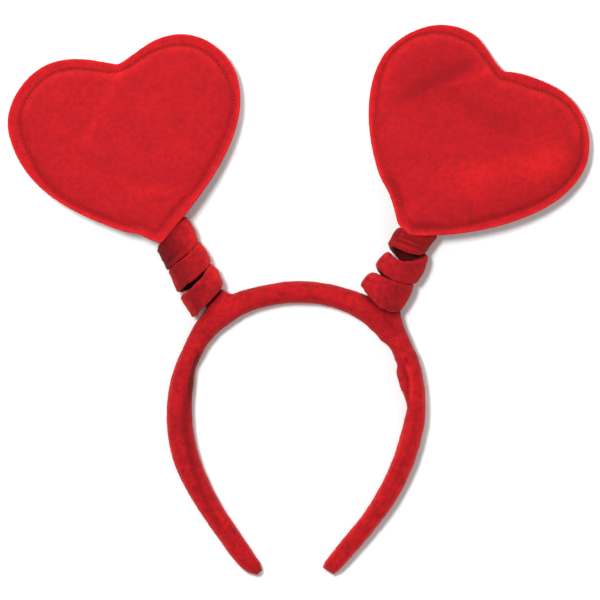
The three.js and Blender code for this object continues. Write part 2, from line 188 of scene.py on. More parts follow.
# Course of each ribbon, where at counts its turns: whole turns lie on the right edge of the
# coil, halves on the left and three-quarters on top. Low and high are the places of its two
# edges along the axis in shares of the pitch, low_reach and high_reach how far they stand off
# the axis in shares of the coil's radius, and dim is how much painted shade lies on its outer
# face there; below zero it paints highlight instead
RIBBON_ROWS = {
    Side.LEFT: Table(
        "at low high low_reach high_reach dim",
        (0.0, -0.33, 0.12, 1.0, 1.0, 0.2),
        (0.25, 0.12, 0.5, 1.0, 1.0, 0.3),
        (0.5, 0.01, 0.84, 1.03, 1.1, -0.9),
        (0.64, 0.09, 0.94, 1.0, 1.04, 0.4),
        (0.75, 0.21, 1.03, 0.98, 0.98, 0.25),
        (0.9, 0.38, 1.26, 0.97, 0.97, -0.2),
        (1.0, 0.51, 1.39, 0.97, 0.97, -0.4),
        (1.25, 0.86, 1.58, 1.0, 1.0, 0.3),
        (1.5, 1.07, 1.89, 1.05, 0.96, -0.2),
        (1.62, 1.13, 1.97, 1.01, 0.97, 0.45),
        (1.75, 1.19, 2.05, 0.97, 0.97, 0.3),
        (2.0, 1.41, 2.27, 0.96, 0.99, -0.4),
        (2.25, 1.75, 2.5, 0.95, 0.95, 0.3),
        (2.5, 1.95, 2.76, 0.95, 0.93, 0.8),
        (2.75, 2.07, 3.13, 0.95, 0.97, 0.5),
        (3.0, 2.28, 3.34, 0.93, 1.03, -0.9),
        (3.25, 2.85, 3.6, 0.8, 0.85, 0.3),
        (3.5, 3.31, 3.97, 0.72, 0.72, 0.3),
        (4.0, 4.15, 4.65, 0.6, 0.6, 0.3),
    ),
    Side.RIGHT: Table(
        "at low high low_reach high_reach dim",
        (0.0, -0.33, 0.12, 1.0, 1.0, 0.2),
        (0.25, 0.0, 0.55, 1.0, 1.0, 0.2),
        (0.5, 0.38, 1.0, 1.14, 0.97, -0.4),
        (0.75, 0.06, 1.1, 1.0, 0.98, 0.2),
        (0.88, 0.07, 1.2, 1.01, 1.02, 0.25),
        (1.0, 0.25, 1.3, 1.02, 1.06, 0.0),
        (1.25, 0.85, 1.6, 1.0, 1.0, 0.3),
        (1.5, 1.27, 1.96, 1.0, 0.72, -0.3),
        (1.75, 1.12, 1.88, 0.98, 0.96, 0.15),
        (2.0, 1.4, 2.46, 1.1, 1.02, 0.1),
        (2.25, 1.85, 2.6, 1.0, 1.0, 0.4),
        (2.5, 2.15, 2.9, 0.87, 0.85, 0.3),
        (2.75, 2.26, 3.1, 0.95, 0.9, 0.3),
        (2.88, 2.37, 3.2, 0.91, 0.94, 0.35),
        (3.0, 2.6, 3.29, 0.84, 0.96, 0.3),
        (3.25, 3.0, 3.6, 0.8, 0.8, 0.3),
        (3.5, 3.38, 4.04, 0.7, 0.7, 0.3),
        (4.0, 4.2, 4.7, 0.6, 0.6, 0.3),
    ),
}

# Raised folds along each ribbon: the turn that it lies at, how many turns its half length is,
# its place across the ribbon from -1 at the low edge to 1, its half width, and its height in
# millimetres
FOLD_ROWS = {
    Side.LEFT: Table(
        "turn long share wide rise",
        (2.68, 0.14, -0.72, 0.12, 0.35),
        (1.95, 0.12, -0.6, 0.25, 0.25),
        (0.93, 0.1, 0.2, 0.4, 0.2),
    ),
    Side.RIGHT: Table(
        "turn long share wide rise",
        (2.75, 0.13, -0.12, 0.1, 0.5),
        (2.7, 0.14, -0.6, 0.14, 0.4),
        (1.55, 0.08, 0.55, 0.3, 0.25),
        (0.58, 0.08, 0.5, 0.3, 0.25),
    ),
}

# Distance of each heart's stitches from its edge in millimetres, and how deep they pull the
# felt in, at shares of the way round the outline anticlockwise from the tip
STITCH_ROWS = {
    Side.LEFT: Table(
        "at inset pull",
        (0.0, 4.4, 0.1),
        (0.05, 4.4, 0.35),
        (0.1, 3.1, 0.9),
        (0.15, 3.0, 0.25),
        (0.2, 2.9, 0.3),
        (0.25, 3.1, 0.9),
        (0.275, 4.4, 1.0),
        (0.3, 5.4, 1.0),
        (0.35, 5.5, 1.0),
        (0.4, 5.8, 1.0),
        (0.425, 5.3, 1.0),
        (0.46, 4.3, 1.0),
        (0.5, 3.9, 1.0),
        (0.525, 5.0, 1.0),
        (0.575, 5.4, 1.0),
        (0.65, 5.9, 1.0),
        (0.7, 5.7, 1.0),
        (0.75, 6.0, 1.0),
        (0.775, 4.9, 1.0),
        (0.8, 3.7, 1.0),
        (0.83, 2.9, 0.9),
        (0.925, 2.9, 0.8),
        (0.96, 3.2, 0.3),
        (1.0, 4.4, 0.1),
    ),
    Side.RIGHT: Table(
        "at inset pull",
        (0.0, 3.0, 0.1),
        (0.05, 2.9, 0.5),
        (0.1, 3.8, 1.0),
        (0.15, 4.2, 1.0),
        (0.2, 3.8, 1.0),
        (0.25, 3.5, 1.0),
        (0.3, 3.1, 1.0),
        (0.375, 3.4, 1.0),
        (0.42, 4.6, 1.0),
        (0.45, 5.9, 1.0),
        (0.475, 5.0, 1.0),
        (0.5, 3.9, 1.0),
        (0.525, 3.2, 1.0),
        (0.55, 3.9, 1.0),
        (0.585, 5.0, 1.0),
        (0.625, 4.1, 0.9),
        (0.675, 2.9, 0.9),
        (0.725, 3.4, 0.8),
        (0.8, 4.0, 0.8),
        (0.83, 3.0, 0.6),
        (0.925, 3.4, 0.5),
        (0.96, 3.3, 0.3),
        (1.0, 3.0, 0.1),
    ),
}

# Small bulges and dents of each heart's edge near its tip: where they lie in shares of the way
# round, how far they stand out in millimetres, and how wide they are in shares of the way round
BULGES = {
    Side.LEFT: Table("at out wide", (0.966, -1.1, 0.012)),
    Side.RIGHT: Table("at out wide", (0.976, 1.7, 0.013), (0.932, -1.3, 0.02)),
}

# Soft creases of each heart's front, from one end to the other in shares of its length.
# Wide is half their width in millimetres, sunk their depth, and tone the painted shade along them, or
# painted highlight where it is below zero
CREASES = {
    Side.LEFT: Table(
        "x y to_x to_y wide sunk tone",
        (-0.002, 0.94, -0.258, 0.61, 3.0, -0.35, -0.35),
        (-0.052, 0.283, 0.233, 0.225, 4.0, -0.25, -0.3),
        (0.093, 0.319, 0.198, 0.303, 4.5, 0.1, 0.1),
    ),
    Side.RIGHT: Table(
        "x y to_x to_y wide sunk tone",
        (-0.381, 0.625, -0.2, 0.923, 4.0, 0.28, 0.3),
        (-0.384, 0.739, -0.296, 0.852, 12.0, 0.15, 0.2),
        (-0.205, 0.797, -0.069, 0.961, 2.4, -0.3, -0.4),
        (-0.167, 0.757, 0.17, 0.753, 6.0, 0.18, 0.2),
        (0.126, 0.449, 0.466, 0.708, 9.0, -0.3, -0.36),
        (-0.02, 0.3, 0.2, 0.4, 9.0, -0.1, -0.25),
        (0.4, 0.62, 0.48, 0.9, 10.0, 0.0, -0.28),
        (0.197, 0.286, 0.247, 0.211, 1.1, 0.25, 0.14),
        (0.122, 0.218, 0.149, 0.159, 1.1, 0.2, 0.12),
        (-0.231, 0.197, -0.125, 0.117, 1.8, 0.3, 0.32),
        (-0.009, 0.046, 0.113, 0.126, 1.8, 0.2, 0.28),
    ),
}


@dataclass(frozen=True)
class HeartHalf:
    """Outline of one half of a heart, in shares of the heart's length and in degrees."""

    side: int
    wide: float
    wide_at: float
    lobe: float
    top: float
    tip_angle: float
    tip_pull: float
    low_pull: float
    high_pull: float
    out_pull: float
    in_pull: float
    cleft_angle: float
    cleft_pull: float


@dataclass(frozen=True)
class Stance:
    """Where a bopper stands on the band, how it leans, and where its spring's plush swells."""

    foot: float
    foot_out: float
    spring_lean: float
    heart_lean: float
    tip_rise: float
    tip_shift: float
    cleft: float
    left_swell: float
    right_swell_end: float


HEART_HALVES = {
    Side.LEFT: (
        HeartHalf(-1, 0.645, 0.765, 0.31, 1.087, 32, 0.33, 0.385, 0.167, 0.16, 0.14, 17, 0.06),
        HeartHalf(1, 0.597, 0.757, 0.291, 1.078, 37, 0.287, 0.32, 0.14, 0.19, 0.13, 11, 0.09),
    ),
    Side.RIGHT: (
        HeartHalf(-1, 0.595, 0.75, 0.25, 1.108, 23.7, 0.322, 0.296, 0.11, 0.24, 0.09, 11, 0.09),
        HeartHalf(1, 0.624, 0.747, 0.283, 1.079, 27.5, 0.289, 0.303, 0.165, 0.2, 0.09, 35, 0.075),
    ),
}

# The left edge of each coil swells by millimetres, and the right edge up to a turn
STANCES = {
    Side.LEFT: Stance(0.22, 0.53, 29.7, 13.8, 2.89, -0.59, 0.992, 0.3, 3.3),
    Side.RIGHT: Stance(0.2135, 0.38, -27.9, -29.8, 2.84, -0.2, 1.013, 1.3, 2.5),
}


class Value:
    """A material's socket that reads as a number in an expression."""

    def __init__(self, recipe: "Recipe", socket: bpy.types.NodeSocket) -> None:
        """Wraps a socket of a recipe's node tree."""
        self.recipe = recipe
        self.socket = socket

    def _math(self, operation: str, *numbers: "Value | float") -> "Value":
        """Adds a Math node for an operation on numbers and sockets."""
        inputs = {i: n for i, n in enumerate(numbers)}
        return self.recipe.node("ShaderNodeMath", {"operation": operation}, inputs, "Value")

    def __add__(self, other: "Value | float") -> "Value":
        """Sum."""
        return self._math("ADD", self, other)

    def __mul__(self, other: "Value | float") -> "Value":
        """Product."""
        return self._math("MULTIPLY", self, other)

    def stretched(self, low: float, high: float) -> "Value":
        """Zero at low, one at high, smooth between and held beyond them.

        Args:
            low: The value that becomes zero.
            high: The value that becomes one.

        Returns:
            The stretched value.
        """
        settings = {"interpolation_type": "SMOOTHSTEP"}
        inputs = {"Value": self, "From Min": low, "From Max": high}
        return self.recipe.node("ShaderNodeMapRange", settings, inputs, "Result")


class Recipe:
    """A material under construction."""

    def __init__(self, name: str) -> None:
        """Starts an empty node tree with one output."""
        self.material = bpy.data.materials.new(name)
        self.material.use_nodes = True
        self.tree = self.material.node_tree
        self.tree.nodes.clear()
        self.coordinates = self.node("ShaderNodeTexCoord", {}, {}, "Object")

    def node(
        self, kind: str, settings: dict[str, object], inputs: dict, output: str | int = 0
    ) -> Value:
        """Adds a node, sets it up and links it.

        Args:
            kind: The node's type.
            settings: Its settings by name, set first.
            inputs: Values, colours or links by the name or number of the socket.
            output: The socket to hand back.

        Returns:
            The wanted output, wrapped.
        """
        made = self.tree.nodes.new(kind)
        for name, setting in settings.items():
            setattr(made, name, setting)
        for key, value in inputs.items():
            socket = made.inputs[key]
            if isinstance(value, Value):
                self.tree.links.new(value.socket, socket)
            else:
                socket.default_value = value
        return Value(self, made.outputs[output])

    def grain(self, per_metre: float, detail: float = 2.0, roughness: float = 0.5) -> Value:
        """Noise in the piece's own space.

        Args:
            per_metre: How many blots fit in a metre.
            detail: Octaves.
            roughness: Share of each finer octave.

        Returns:
            A value around one half.
        """
        inputs = {
            "Vector": self.coordinates,
            "Scale": per_metre,
            "Detail": detail,
            "Roughness": roughness,
        }
        return self.node("ShaderNodeTexNoise", {}, inputs, "Fac")

    def attribute(self, name: str) -> Value:
        """A number that the mesh carries at its points."""
        return self.node("ShaderNodeAttribute", {"attribute_name": name}, {}, "Fac")

    def blend(self, share: Value, first: object, second: object) -> Value:
        """A colour between two others.

        Args:
            share: Zero for the first, one for the second.
            first: A colour or a link.
            second: A colour or a link.

        Returns:
            The blended colour.
        """
        mixer = self.tree.nodes.new("ShaderNodeMix")
        mixer.data_type = "RGBA"
        colours = [s for s in mixer.inputs if s.type == "RGBA"]
        self.tree.links.new(share.socket, mixer.inputs[0])
        for socket, value in zip(colours, (first, second)):
            if isinstance(value, Value):
                self.tree.links.new(value.socket, socket)
            else:
                socket.default_value = value
        return Value(self, next(s for s in mixer.outputs if s.type == "RGBA"))

    def bump(self, height: Value, depth: float, strength: float) -> Value:
        """A normal pushed about by a height.

        Args:
            height: Zero to one.
            depth: The relief in metres.
            strength: Share of the relief that shows.

        Returns:
            The normal.
        """
        inputs = {"Height": height, "Distance": depth, "Strength": strength}
        return self.node("ShaderNodeBump", {}, inputs, "Normal")

    def finish(self, surface: dict[str, object]) -> bpy.types.Material:
        """Ends the material in one Principled surface.

        Args:
            surface: Values or links of the surface's sockets.

        Returns:
            The material.
        """
        shader = self.node("ShaderNodeBsdfPrincipled", {}, surface, "BSDF")
        output = self.tree.nodes.new("ShaderNodeOutputMaterial")
        self.tree.links.new(shader.socket, output.inputs["Surface"])
        return self.material


Colour = tuple[float, float, float, float]


def red(level: float, green: float, blue: float) -> Colour:
    """An opaque colour from linear red, green and blue."""
    return (level, green, blue, 1.0)


@dataclass(frozen=True)
class PileFinish:
    """A cloth with a nap: velour or brushed felt."""

    name: str
    deep: Colour
    bright: Colour
    shade: Colour
    painted_highlight: Colour
    blot_size: float
    grain_size: float
    relief: float
    sheen: float
    sheen_tint: Colour
    contrast: float = 0.5
    blot_share: float = 0.45

    def material(self) -> bpy.types.Material:
        """Makes the cloth's material."""
        recipe = Recipe(self.name)
        blots = recipe.grain(1 / self.blot_size, 3.0, 0.6)
        tufts = recipe.grain(1 / (3.2 * self.grain_size), 2.0, 0.6)
        grain = recipe.grain(1 / self.grain_size, 3.0, 0.65)
        fine = 1 - self.blot_share
        level = blots * self.blot_share + tufts * (0.55 * fine) + grain * (0.45 * fine)
        level = level.stretched(0.5 - self.contrast * 0.32, 0.5 + self.contrast * 0.32)
        cloth = recipe.blend(level, self.deep, self.bright)
        # Painted highlight and painted shade, carried by the mesh, are laid over the cloth's own colour
        lit = recipe.attribute("painted_highlight") * (level * 0.5 + 0.6)
        cloth = recipe.blend(lit.stretched(0.0, 1.1), cloth, self.painted_highlight)
        colour = recipe.blend(recipe.attribute("shade"), cloth, self.shade)
        height = grain * 0.6 + tufts * 0.4
        return recipe.finish(
            {
                "Base Color": colour,
                "Roughness": 0.92,
                "Specular IOR Level": 0.18,
                "Sheen Weight": self.sheen,
                "Sheen Roughness": 0.42,
                "Sheen Tint": self.sheen_tint,
                "Normal": recipe.bump(height, self.relief, 0.9),
            }
        )


@dataclass(frozen=True)
class HairFinish:
    """Loose hairs of a nap, all in one even colour."""

    name: str
    colour: Colour
    sheen: float = 0.2

    def material(self) -> bpy.types.Material:
        """Makes the hairs' material in one even colour."""
        made = bpy.data.materials.new(self.name)
        made.use_nodes = True
        shader = next(n for n in made.node_tree.nodes if n.type == "BSDF_PRINCIPLED")
        shader.inputs["Base Color"].default_value = self.colour
        shader.inputs["Roughness"].default_value = 0.85
        shader.inputs["Specular IOR Level"].default_value = 0.25
        shader.inputs["Sheen Weight"].default_value = self.sheen
        shader.inputs["Sheen Tint"].default_value = red(1.0, 0.3, 0.25)
        return made


@dataclass(frozen=True)
class ThreadFinish:
    """Twisted sewing thread."""

    name: str
    colour: Colour
    dark: Colour

    def material(self) -> bpy.types.Material:
        """Makes the thread's material."""
        recipe = Recipe(self.name)
        ply = recipe.grain(4200.0, 2.0, 0.5)
        colour = recipe.blend(ply.stretched(0.35, 0.65), self.dark, self.colour)
        return recipe.finish(
            {
                "Base Color": colour,
                "Roughness": 0.6,
                "Specular IOR Level": 0.35,
                "Normal": recipe.bump(ply, 0.00006, 0.6),
            }
        )


BAND_VELOUR = PileFinish(
    name="band velour",
    deep=red(0.22, 0.003, 0.007),
    bright=red(0.64, 0.010, 0.014),
    shade=red(0.13, 0.002, 0.005),
    painted_highlight=red(0.80, 0.018, 0.020),
    blot_size=0.0042,
    grain_size=0.0006,
    relief=0.0005,
    sheen=0.16,
    sheen_tint=red(1.0, 0.2, 0.15),
    contrast=0.85,
)
# The springs' velour is set a little darker than the band's at its brightest, and their hairs darker
# still: painted shade over the coils
SPRING_VELOUR = PileFinish(
    name="spring velour",
    deep=red(0.26, 0.004, 0.009),
    bright=red(0.56, 0.009, 0.014),
    shade=red(0.075, 0.002, 0.003),
    painted_highlight=red(0.74, 0.012, 0.015),
    blot_size=0.003,
    grain_size=0.0006,
    relief=0.00055,
    sheen=0.14,
    sheen_tint=red(1.0, 0.2, 0.15),
    contrast=0.6,
)
HEART_FELT = PileFinish(
    name="heart felt",
    deep=red(0.36, 0.006, 0.010),
    bright=red(0.51, 0.008, 0.013),
    shade=red(0.16, 0.002, 0.006),
    painted_highlight=red(0.74, 0.013, 0.015),
    blot_size=0.008,
    grain_size=0.0008,
    relief=0.0003,
    sheen=0.16,
    sheen_tint=red(1.0, 0.22, 0.16),
    contrast=0.55,
    blot_share=0.22,
)
BAND_NAP = HairFinish("band nap hairs", red(0.52, 0.009, 0.013))
SPRING_NAP = HairFinish("spring nap hairs", red(0.40, 0.007, 0.011))
HEART_NAP = HairFinish("heart nap hairs", red(0.50, 0.008, 0.012))
STITCH_THREAD = ThreadFinish("stitch thread", red(0.42, 0.007, 0.011), red(0.29, 0.005, 0.009))


def smooth(low: float, high: float, value: np.ndarray) -> np.ndarray:
    """Zero below low, one above high, smooth between."""
    t = np.clip((np.asarray(value, float) - low) / (high - low), 0, 1)
    return t * t * (3 - 2 * t)


def bell(value: np.ndarray, centre: float, width: float) -> np.ndarray:
    """A rounded hump of height one about a centre."""
    return np.exp(-(((np.asarray(value, float) - centre) / width) ** 2))


def window(
    value: np.ndarray, rise: tuple[float, float], fall: tuple[float, float]
) -> np.ndarray:
    """One between a rise and a fall and zero beyond them, smooth at both.

    Args:
        value: Where it is read.
        rise: Where it leaves zero and where it reaches one.
        fall: Where it leaves one and where it reaches zero.

    Returns:
        One number for each value.
    """
    return smooth(*rise, value) * (1 - smooth(*fall, value))


def lumps(points: np.ndarray, size: float, seed: float = 0.0) -> np.ndarray:
    """Smooth noise from -1 to 1 at each point.

    Args:
        points: Points, one a row.
        size: Size of a lump in metres.
        seed: Moves the pattern.

    Returns:
        One number a point.
    """
    shift = Vector((seed * 7.31, seed * 3.17, seed * 5.71))
    return np.array([noise.noise(Vector(p) / size + shift) for p in points])


def rumples(points: np.ndarray, seed: float, *layers: tuple[float, float]) -> np.ndarray:
    """Lumps of several sizes on top of each other.

    Args:
        points: Points, one a row.
        seed: Moves the pattern, by one more for each layer.
        layers: Height and size of each layer's lumps in millimetres.

    Returns:
        The height at each point in millimetres.
    """
    heights = [high * lumps(points, size * MM, seed + i) for i, (high, size) in enumerate(layers)]
    return np.sum(heights, axis=0)


def unit(vectors: np.ndarray) -> np.ndarray:
    """Vectors brought to a length of one."""
    return vectors / np.maximum(np.linalg.norm(vectors, axis=-1, keepdims=True), 1e-12)


def rounded(angle: np.ndarray, squareness: float) -> tuple[np.ndarray, np.ndarray]:
    """Unit point of a rounded section.

    Args:
        angle: Angle round the section.
        squareness: One for an ellipse, and less for a squarer section.

    Returns:
        The point's parts across and up.
    """
    across = np.sign(np.cos(angle)) * np.abs(np.cos(angle)) ** squareness
    up = np.sign(np.sin(angle)) * np.abs(np.sin(angle)) ** squareness
    return across, up


def off_edge(outline: np.ndarray) -> np.ndarray:
    """Directions off the edge of a flat anticlockwise outline, at each of its points."""
    step = np.roll(outline, -1, axis=0) - np.roll(outline, 1, axis=0)
    return unit(np.stack([step[:, 1], -step[:, 0]], axis=1))


def run_of(path: np.ndarray) -> np.ndarray:
    """Distance along a path at each of its points."""
    return np.concatenate([[0], np.cumsum(np.linalg.norm(np.diff(path, axis=0), axis=1))])


def walk(path: np.ndarray, run: np.ndarray, places: np.ndarray) -> np.ndarray:
    """Points of a flat path at distances along it."""
    return np.stack([np.interp(places, run, path[:, k]) for k in range(2)], axis=1)


Tones = dict[str, np.ndarray]


def tube_mesh(name: str, rings: np.ndarray, tones: Tones) -> bpy.types.Object:
    """Makes a closed tube from rings of points.

    Args:
        name: The object's name.
        rings: Points by ring, side and axis.
        tones: Painted shade and painted highlight on the cloth at each point, from 0 to 1, by name.

    Returns:
        The object, smooth shaded.
    """
    count, sides, _ = rings.shape
    points = rings.reshape(-1, 3)
    ring = np.arange(count - 1)[:, None] * sides
    side = np.arange(sides)[None, :]
    after = (side + 1) % sides
    quads = np.stack(
        [ring + side, ring + after, ring + after + sides, ring + side + sides], axis=-1
    ).reshape(-1, 4)
    ends = np.array([rings[0].mean(0), rings[-1].mean(0)])
    points = np.concatenate([points, ends])
    first = [(len(points) - 2, int(b), int(a)) for a, b in zip(side[0], after[0])]
    base = (count - 1) * sides
    last = [(len(points) - 1, int(a) + base, int(b) + base) for a, b in zip(side[0], after[0])]
    mesh = bpy.data.meshes.new(name)
    mesh.from_pydata(points.tolist(), [], quads.tolist() + first + last)
    made = place_mesh(mesh)
    for tone, values in tones.items():
        tint(made, tone, np.concatenate([values.ravel(), [0.0, 0.0]]))
    return made


def tint(piece: bpy.types.Object, name: str, values: np.ndarray) -> None:
    """Stores a number from 0 to 1 at each point of a piece's mesh."""
    layer = piece.data.attributes.get(name) or piece.data.attributes.new(name, "FLOAT", "POINT")
    layer.data.foreach_set("value", np.clip(values, 0, 1).astype(np.float32))


def place_mesh(mesh: bpy.types.Mesh) -> bpy.types.Object:
    """Puts a mesh in the scene, smooth shaded and with its faces outwards."""
    shell = bmesh.new()
    shell.from_mesh(mesh)
    bmesh.ops.recalc_face_normals(shell, faces=shell.faces)
    shell.to_mesh(mesh)
    shell.free()
    mesh.polygons.foreach_set("use_smooth", [True] * len(mesh.polygons))
    mesh.update()
    made = bpy.data.objects.new(mesh.name, mesh)
    bpy.context.scene.collection.objects.link(made)
    return made


def points_of(piece: bpy.types.Object) -> np.ndarray:
    """Points of a piece's mesh, one a row."""
    found = np.zeros(len(piece.data.vertices) * 3, np.float32)
    piece.data.vertices.foreach_get("co", found)
    return found.reshape(-1, 3).astype(float)


def move_points(piece: bpy.types.Object, points: np.ndarray) -> None:
    """Gives a piece's mesh new places for its points."""
    piece.data.vertices.foreach_set("co", points.astype(np.float32).ravel())
    piece.data.update()


def normals_of(piece: bpy.types.Object) -> np.ndarray:
    """Normals at a piece's points, one a row."""
    found = np.zeros(len(piece.data.vertices) * 3, np.float32)
    piece.data.vertex_normals.foreach_get("vector", found)
    return found.reshape(-1, 3).astype(float)


def apply(piece: bpy.types.Object, modifier: bpy.types.Modifier) -> None:
    """Applies a modifier to a piece's mesh."""
    bpy.ops.object.select_all(action="DESELECT")
    bpy.context.view_layer.objects.active = piece
    piece.select_set(True)
    bpy.ops.object.modifier_apply(modifier=modifier.name)


def dress(piece: bpy.types.Object, material: bpy.types.Material) -> None:
    """Gives a piece its material and the body that it rides on."""
    piece.data.materials.clear()
    piece.data.materials.append(material)
    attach(piece, "root")


@dataclass(frozen=True)
class Nap:
    """Short loose hairs that stand up from a cloth."""

    count: int
    length: float
    width: float
    lean: float
    seed: int

    def grow(self, name: str, cloth: bpy.types.Object, lowest: float = 0.0006) -> bpy.types.Object:
        """Grows the hairs over a cloth, each a thin closed spike.

        Args:
            name: The new object's name.
            cloth: The piece that they stand on.
            lowest: Hairs start above this height.

        Returns:
            All the hairs as one object.
        """
        chance = np.random.default_rng(self.seed)
        mesh = cloth.data
        mesh.calc_loop_triangles()
        corners = np.zeros(len(mesh.loop_triangles) * 3, np.int32)
        mesh.loop_triangles.foreach_get("vertices", corners)
        corners = corners.reshape(-1, 3)
        places = points_of(cloth)
        directions = normals_of(cloth)
        a, b, c = (places[corners[:, i]] for i in range(3))
        area = np.linalg.norm(np.cross(b - a, c - a), axis=1)
        area[(a[:, 2] < lowest) & (b[:, 2] < lowest)] = 0
        chosen = chance.choice(len(area), self.count, p=area / area.sum())
        u, v = chance.random(self.count), chance.random(self.count)
        flip = u + v > 1
        u[flip], v[flip] = 1 - u[flip], 1 - v[flip]
        root = a[chosen] + (b - a)[chosen] * u[:, None] + (c - a)[chosen] * v[:, None]
        up = unit(directions[corners[chosen, 0]])
        aside = unit(np.cross(up, chance.normal(size=(self.count, 3))))
        other = np.cross(up, aside)
        length = self.length * chance.uniform(0.5, 1.3, self.count)[:, None]
        lean = np.tan(np.radians(self.lean)) * chance.uniform(0.3, 1.3, self.count)[:, None]
        tip = root + length * unit(up + aside * lean)
        half = self.width / 2
        base = root - up * self.width
        corner = [
            base + half * (np.cos(turn) * aside + np.sin(turn) * other)
            for turn in np.arange(3) * 2 * np.pi / 3
        ]
        points = np.stack([*corner, tip], axis=1).reshape(-1, 3)
        points[:, 2] = np.maximum(points[:, 2], 0.0)
        first = np.arange(self.count)[:, None] * 4
        faces = np.concatenate(
            [first + np.array(f) for f in ((0, 1, 3), (1, 2, 3), (2, 0, 3), (0, 2, 1))]
        )
        made = bpy.data.meshes.new(name)
        made.from_pydata(points.tolist(), [], faces.tolist())
        hairs = bpy.data.objects.new(name, made)
        bpy.context.scene.collection.objects.link(hairs)
        return hairs


class Plush:
    """The plush of one side of the sleeve at each point of its rings, with its folds and its painted
    shade and highlight.
    """

    def __init__(self, share: np.ndarray, across: np.ndarray, up: np.ndarray) -> None:
        """Starts with smooth plush, with a little painted highlight along both edges.

        Args:
            share: Shares of the way from crown to tip, one a ring.
            across: Places across the section, from -1 at its inner edge to 1, one a side.
            up: Places up the section, from -1 to 1, one a side.
        """
        self.along = share[:, None] + 0 * across[None, :]
        self.across = across[None, :] + 0 * self.along
        self.up = up[None, :]
        self.top = smooth(-0.1, 0.35, self.up)
        self.drop = np.zeros_like(self.along)
        self.pull = np.zeros_like(self.along)
        self.dark = np.zeros_like(self.along)
        self.bright = 0.25 * smooth(0.6, 0.95, np.abs(self.across)) * self.top

    def fold_left(self) -> None:
        """Adds the left leg's crease and the layer that peeks out below it, with their painted shade and
        highlight.
        """
        along, u, top = self.along, self.across, self.top
        # The crease starts at the inner edge below the flare and runs on down the leg
        line = -0.95 + 0.55 * smooth(0.34, 0.55, along) + 0.6 * smooth(0.62, 0.85, along)
        here = window(along, (0.33, 0.38), (0.8, 0.95)) * top
        groove = bell(u - line, 0.0, 0.2) * here
        inside = smooth(0.0, 0.25, line - u) * here
        # The plush sinks along the crease and over the strip inside it, which take painted shade
        self.drop += 0.3 * MM * groove + 0.7 * MM * inside * (1 - smooth(0.5, 0.7, along))
        self.dark += 0.12 * groove + 0.3 * inside * (1 - smooth(0.45, 0.6, along))
        lip = bell(along, 0.385, 0.03) * smooth(0.62, 0.95, -u) * smooth(-0.6, 0.1, self.up)
        self.pull -= 1.1 * MM * lip
        # The layer below the crease sinks and lies in painted shade, without the edge's painted
        # highlight
        layer = window(along, (0.33, 0.35), (0.4, 0.5))
        layer = layer * smooth(0.5, 0.62, -u) * smooth(-0.5, 0.0, self.up)
        self.drop += 0.9 * MM * layer
        self.dark += 0.85 * layer * smooth(-0.15, 0.15, self.up)
        self.bright *= 1 - layer
        # Painted shade along a streak by the crease and a little over the middle of the leg; painted
        # highlight along both edges
        streak = bell(u - line, 0.05, 0.34) * window(along, (0.4, 0.52), (0.76, 0.92)) * top
        self.dark += 0.34 * streak + 0.1 * window(along, (0.28, 0.42), (0.62, 0.8))
        self.bright += 0.45 * smooth(0.35, 0.95, u) * smooth(0.28, 0.4, along) * top
        self.bright += 0.4 * smooth(0.7, 0.95, -u) * smooth(0.5, 0.65, along) * top

    def fold_right(self) -> None:
        """Adds the loose fold off the right leg's inner edge, half way down, with its painted shade and
        highlight.
        """
        along, u, top = self.along, self.across, self.top
        line = -0.5 + 0.1 * smooth(0.38, 0.42, along) - 0.45 * smooth(0.42, 0.5, along)
        here = window(along, (0.372, 0.39), (0.46, 0.49)) * top
        groove = bell(u - line, 0.0, 0.11) * here
        nick = bell(along, 0.372, 0.01) * bell(u, -0.1, 0.2) * top
        streak = bell(u, 0.05, 0.3) * window(along, (0.44, 0.52), (0.85, 0.97)) * top
        # The fold's groove, the nick and a streak down the leg sink and take painted shade, and more
        # painted shade lies just below the spring
        self.drop += (0.8 * groove + 0.7 * nick + 0.15 * streak) * MM
        self.dark += 0.55 * groove + 0.5 * nick + 0.3 * streak
        self.dark += 0.3 * bell(along, 0.265, 0.035) * bell(u, 0.25, 0.35) * top
        # Painted highlight on the fold's lip and along both edges, and the lower leg is brighter
        self.bright += 0.6 * bell(u - line, 0.32, 0.17) * here
        self.bright += 0.45 * smooth(0.45, 0.95, u) * smooth(0.36, 0.45, along) * top
        self.bright += 0.26 * smooth(0.38, 0.5, along)
        self.bright += 0.3 * smooth(0.55, 0.95, -u) * smooth(0.5, 0.6, along) * top


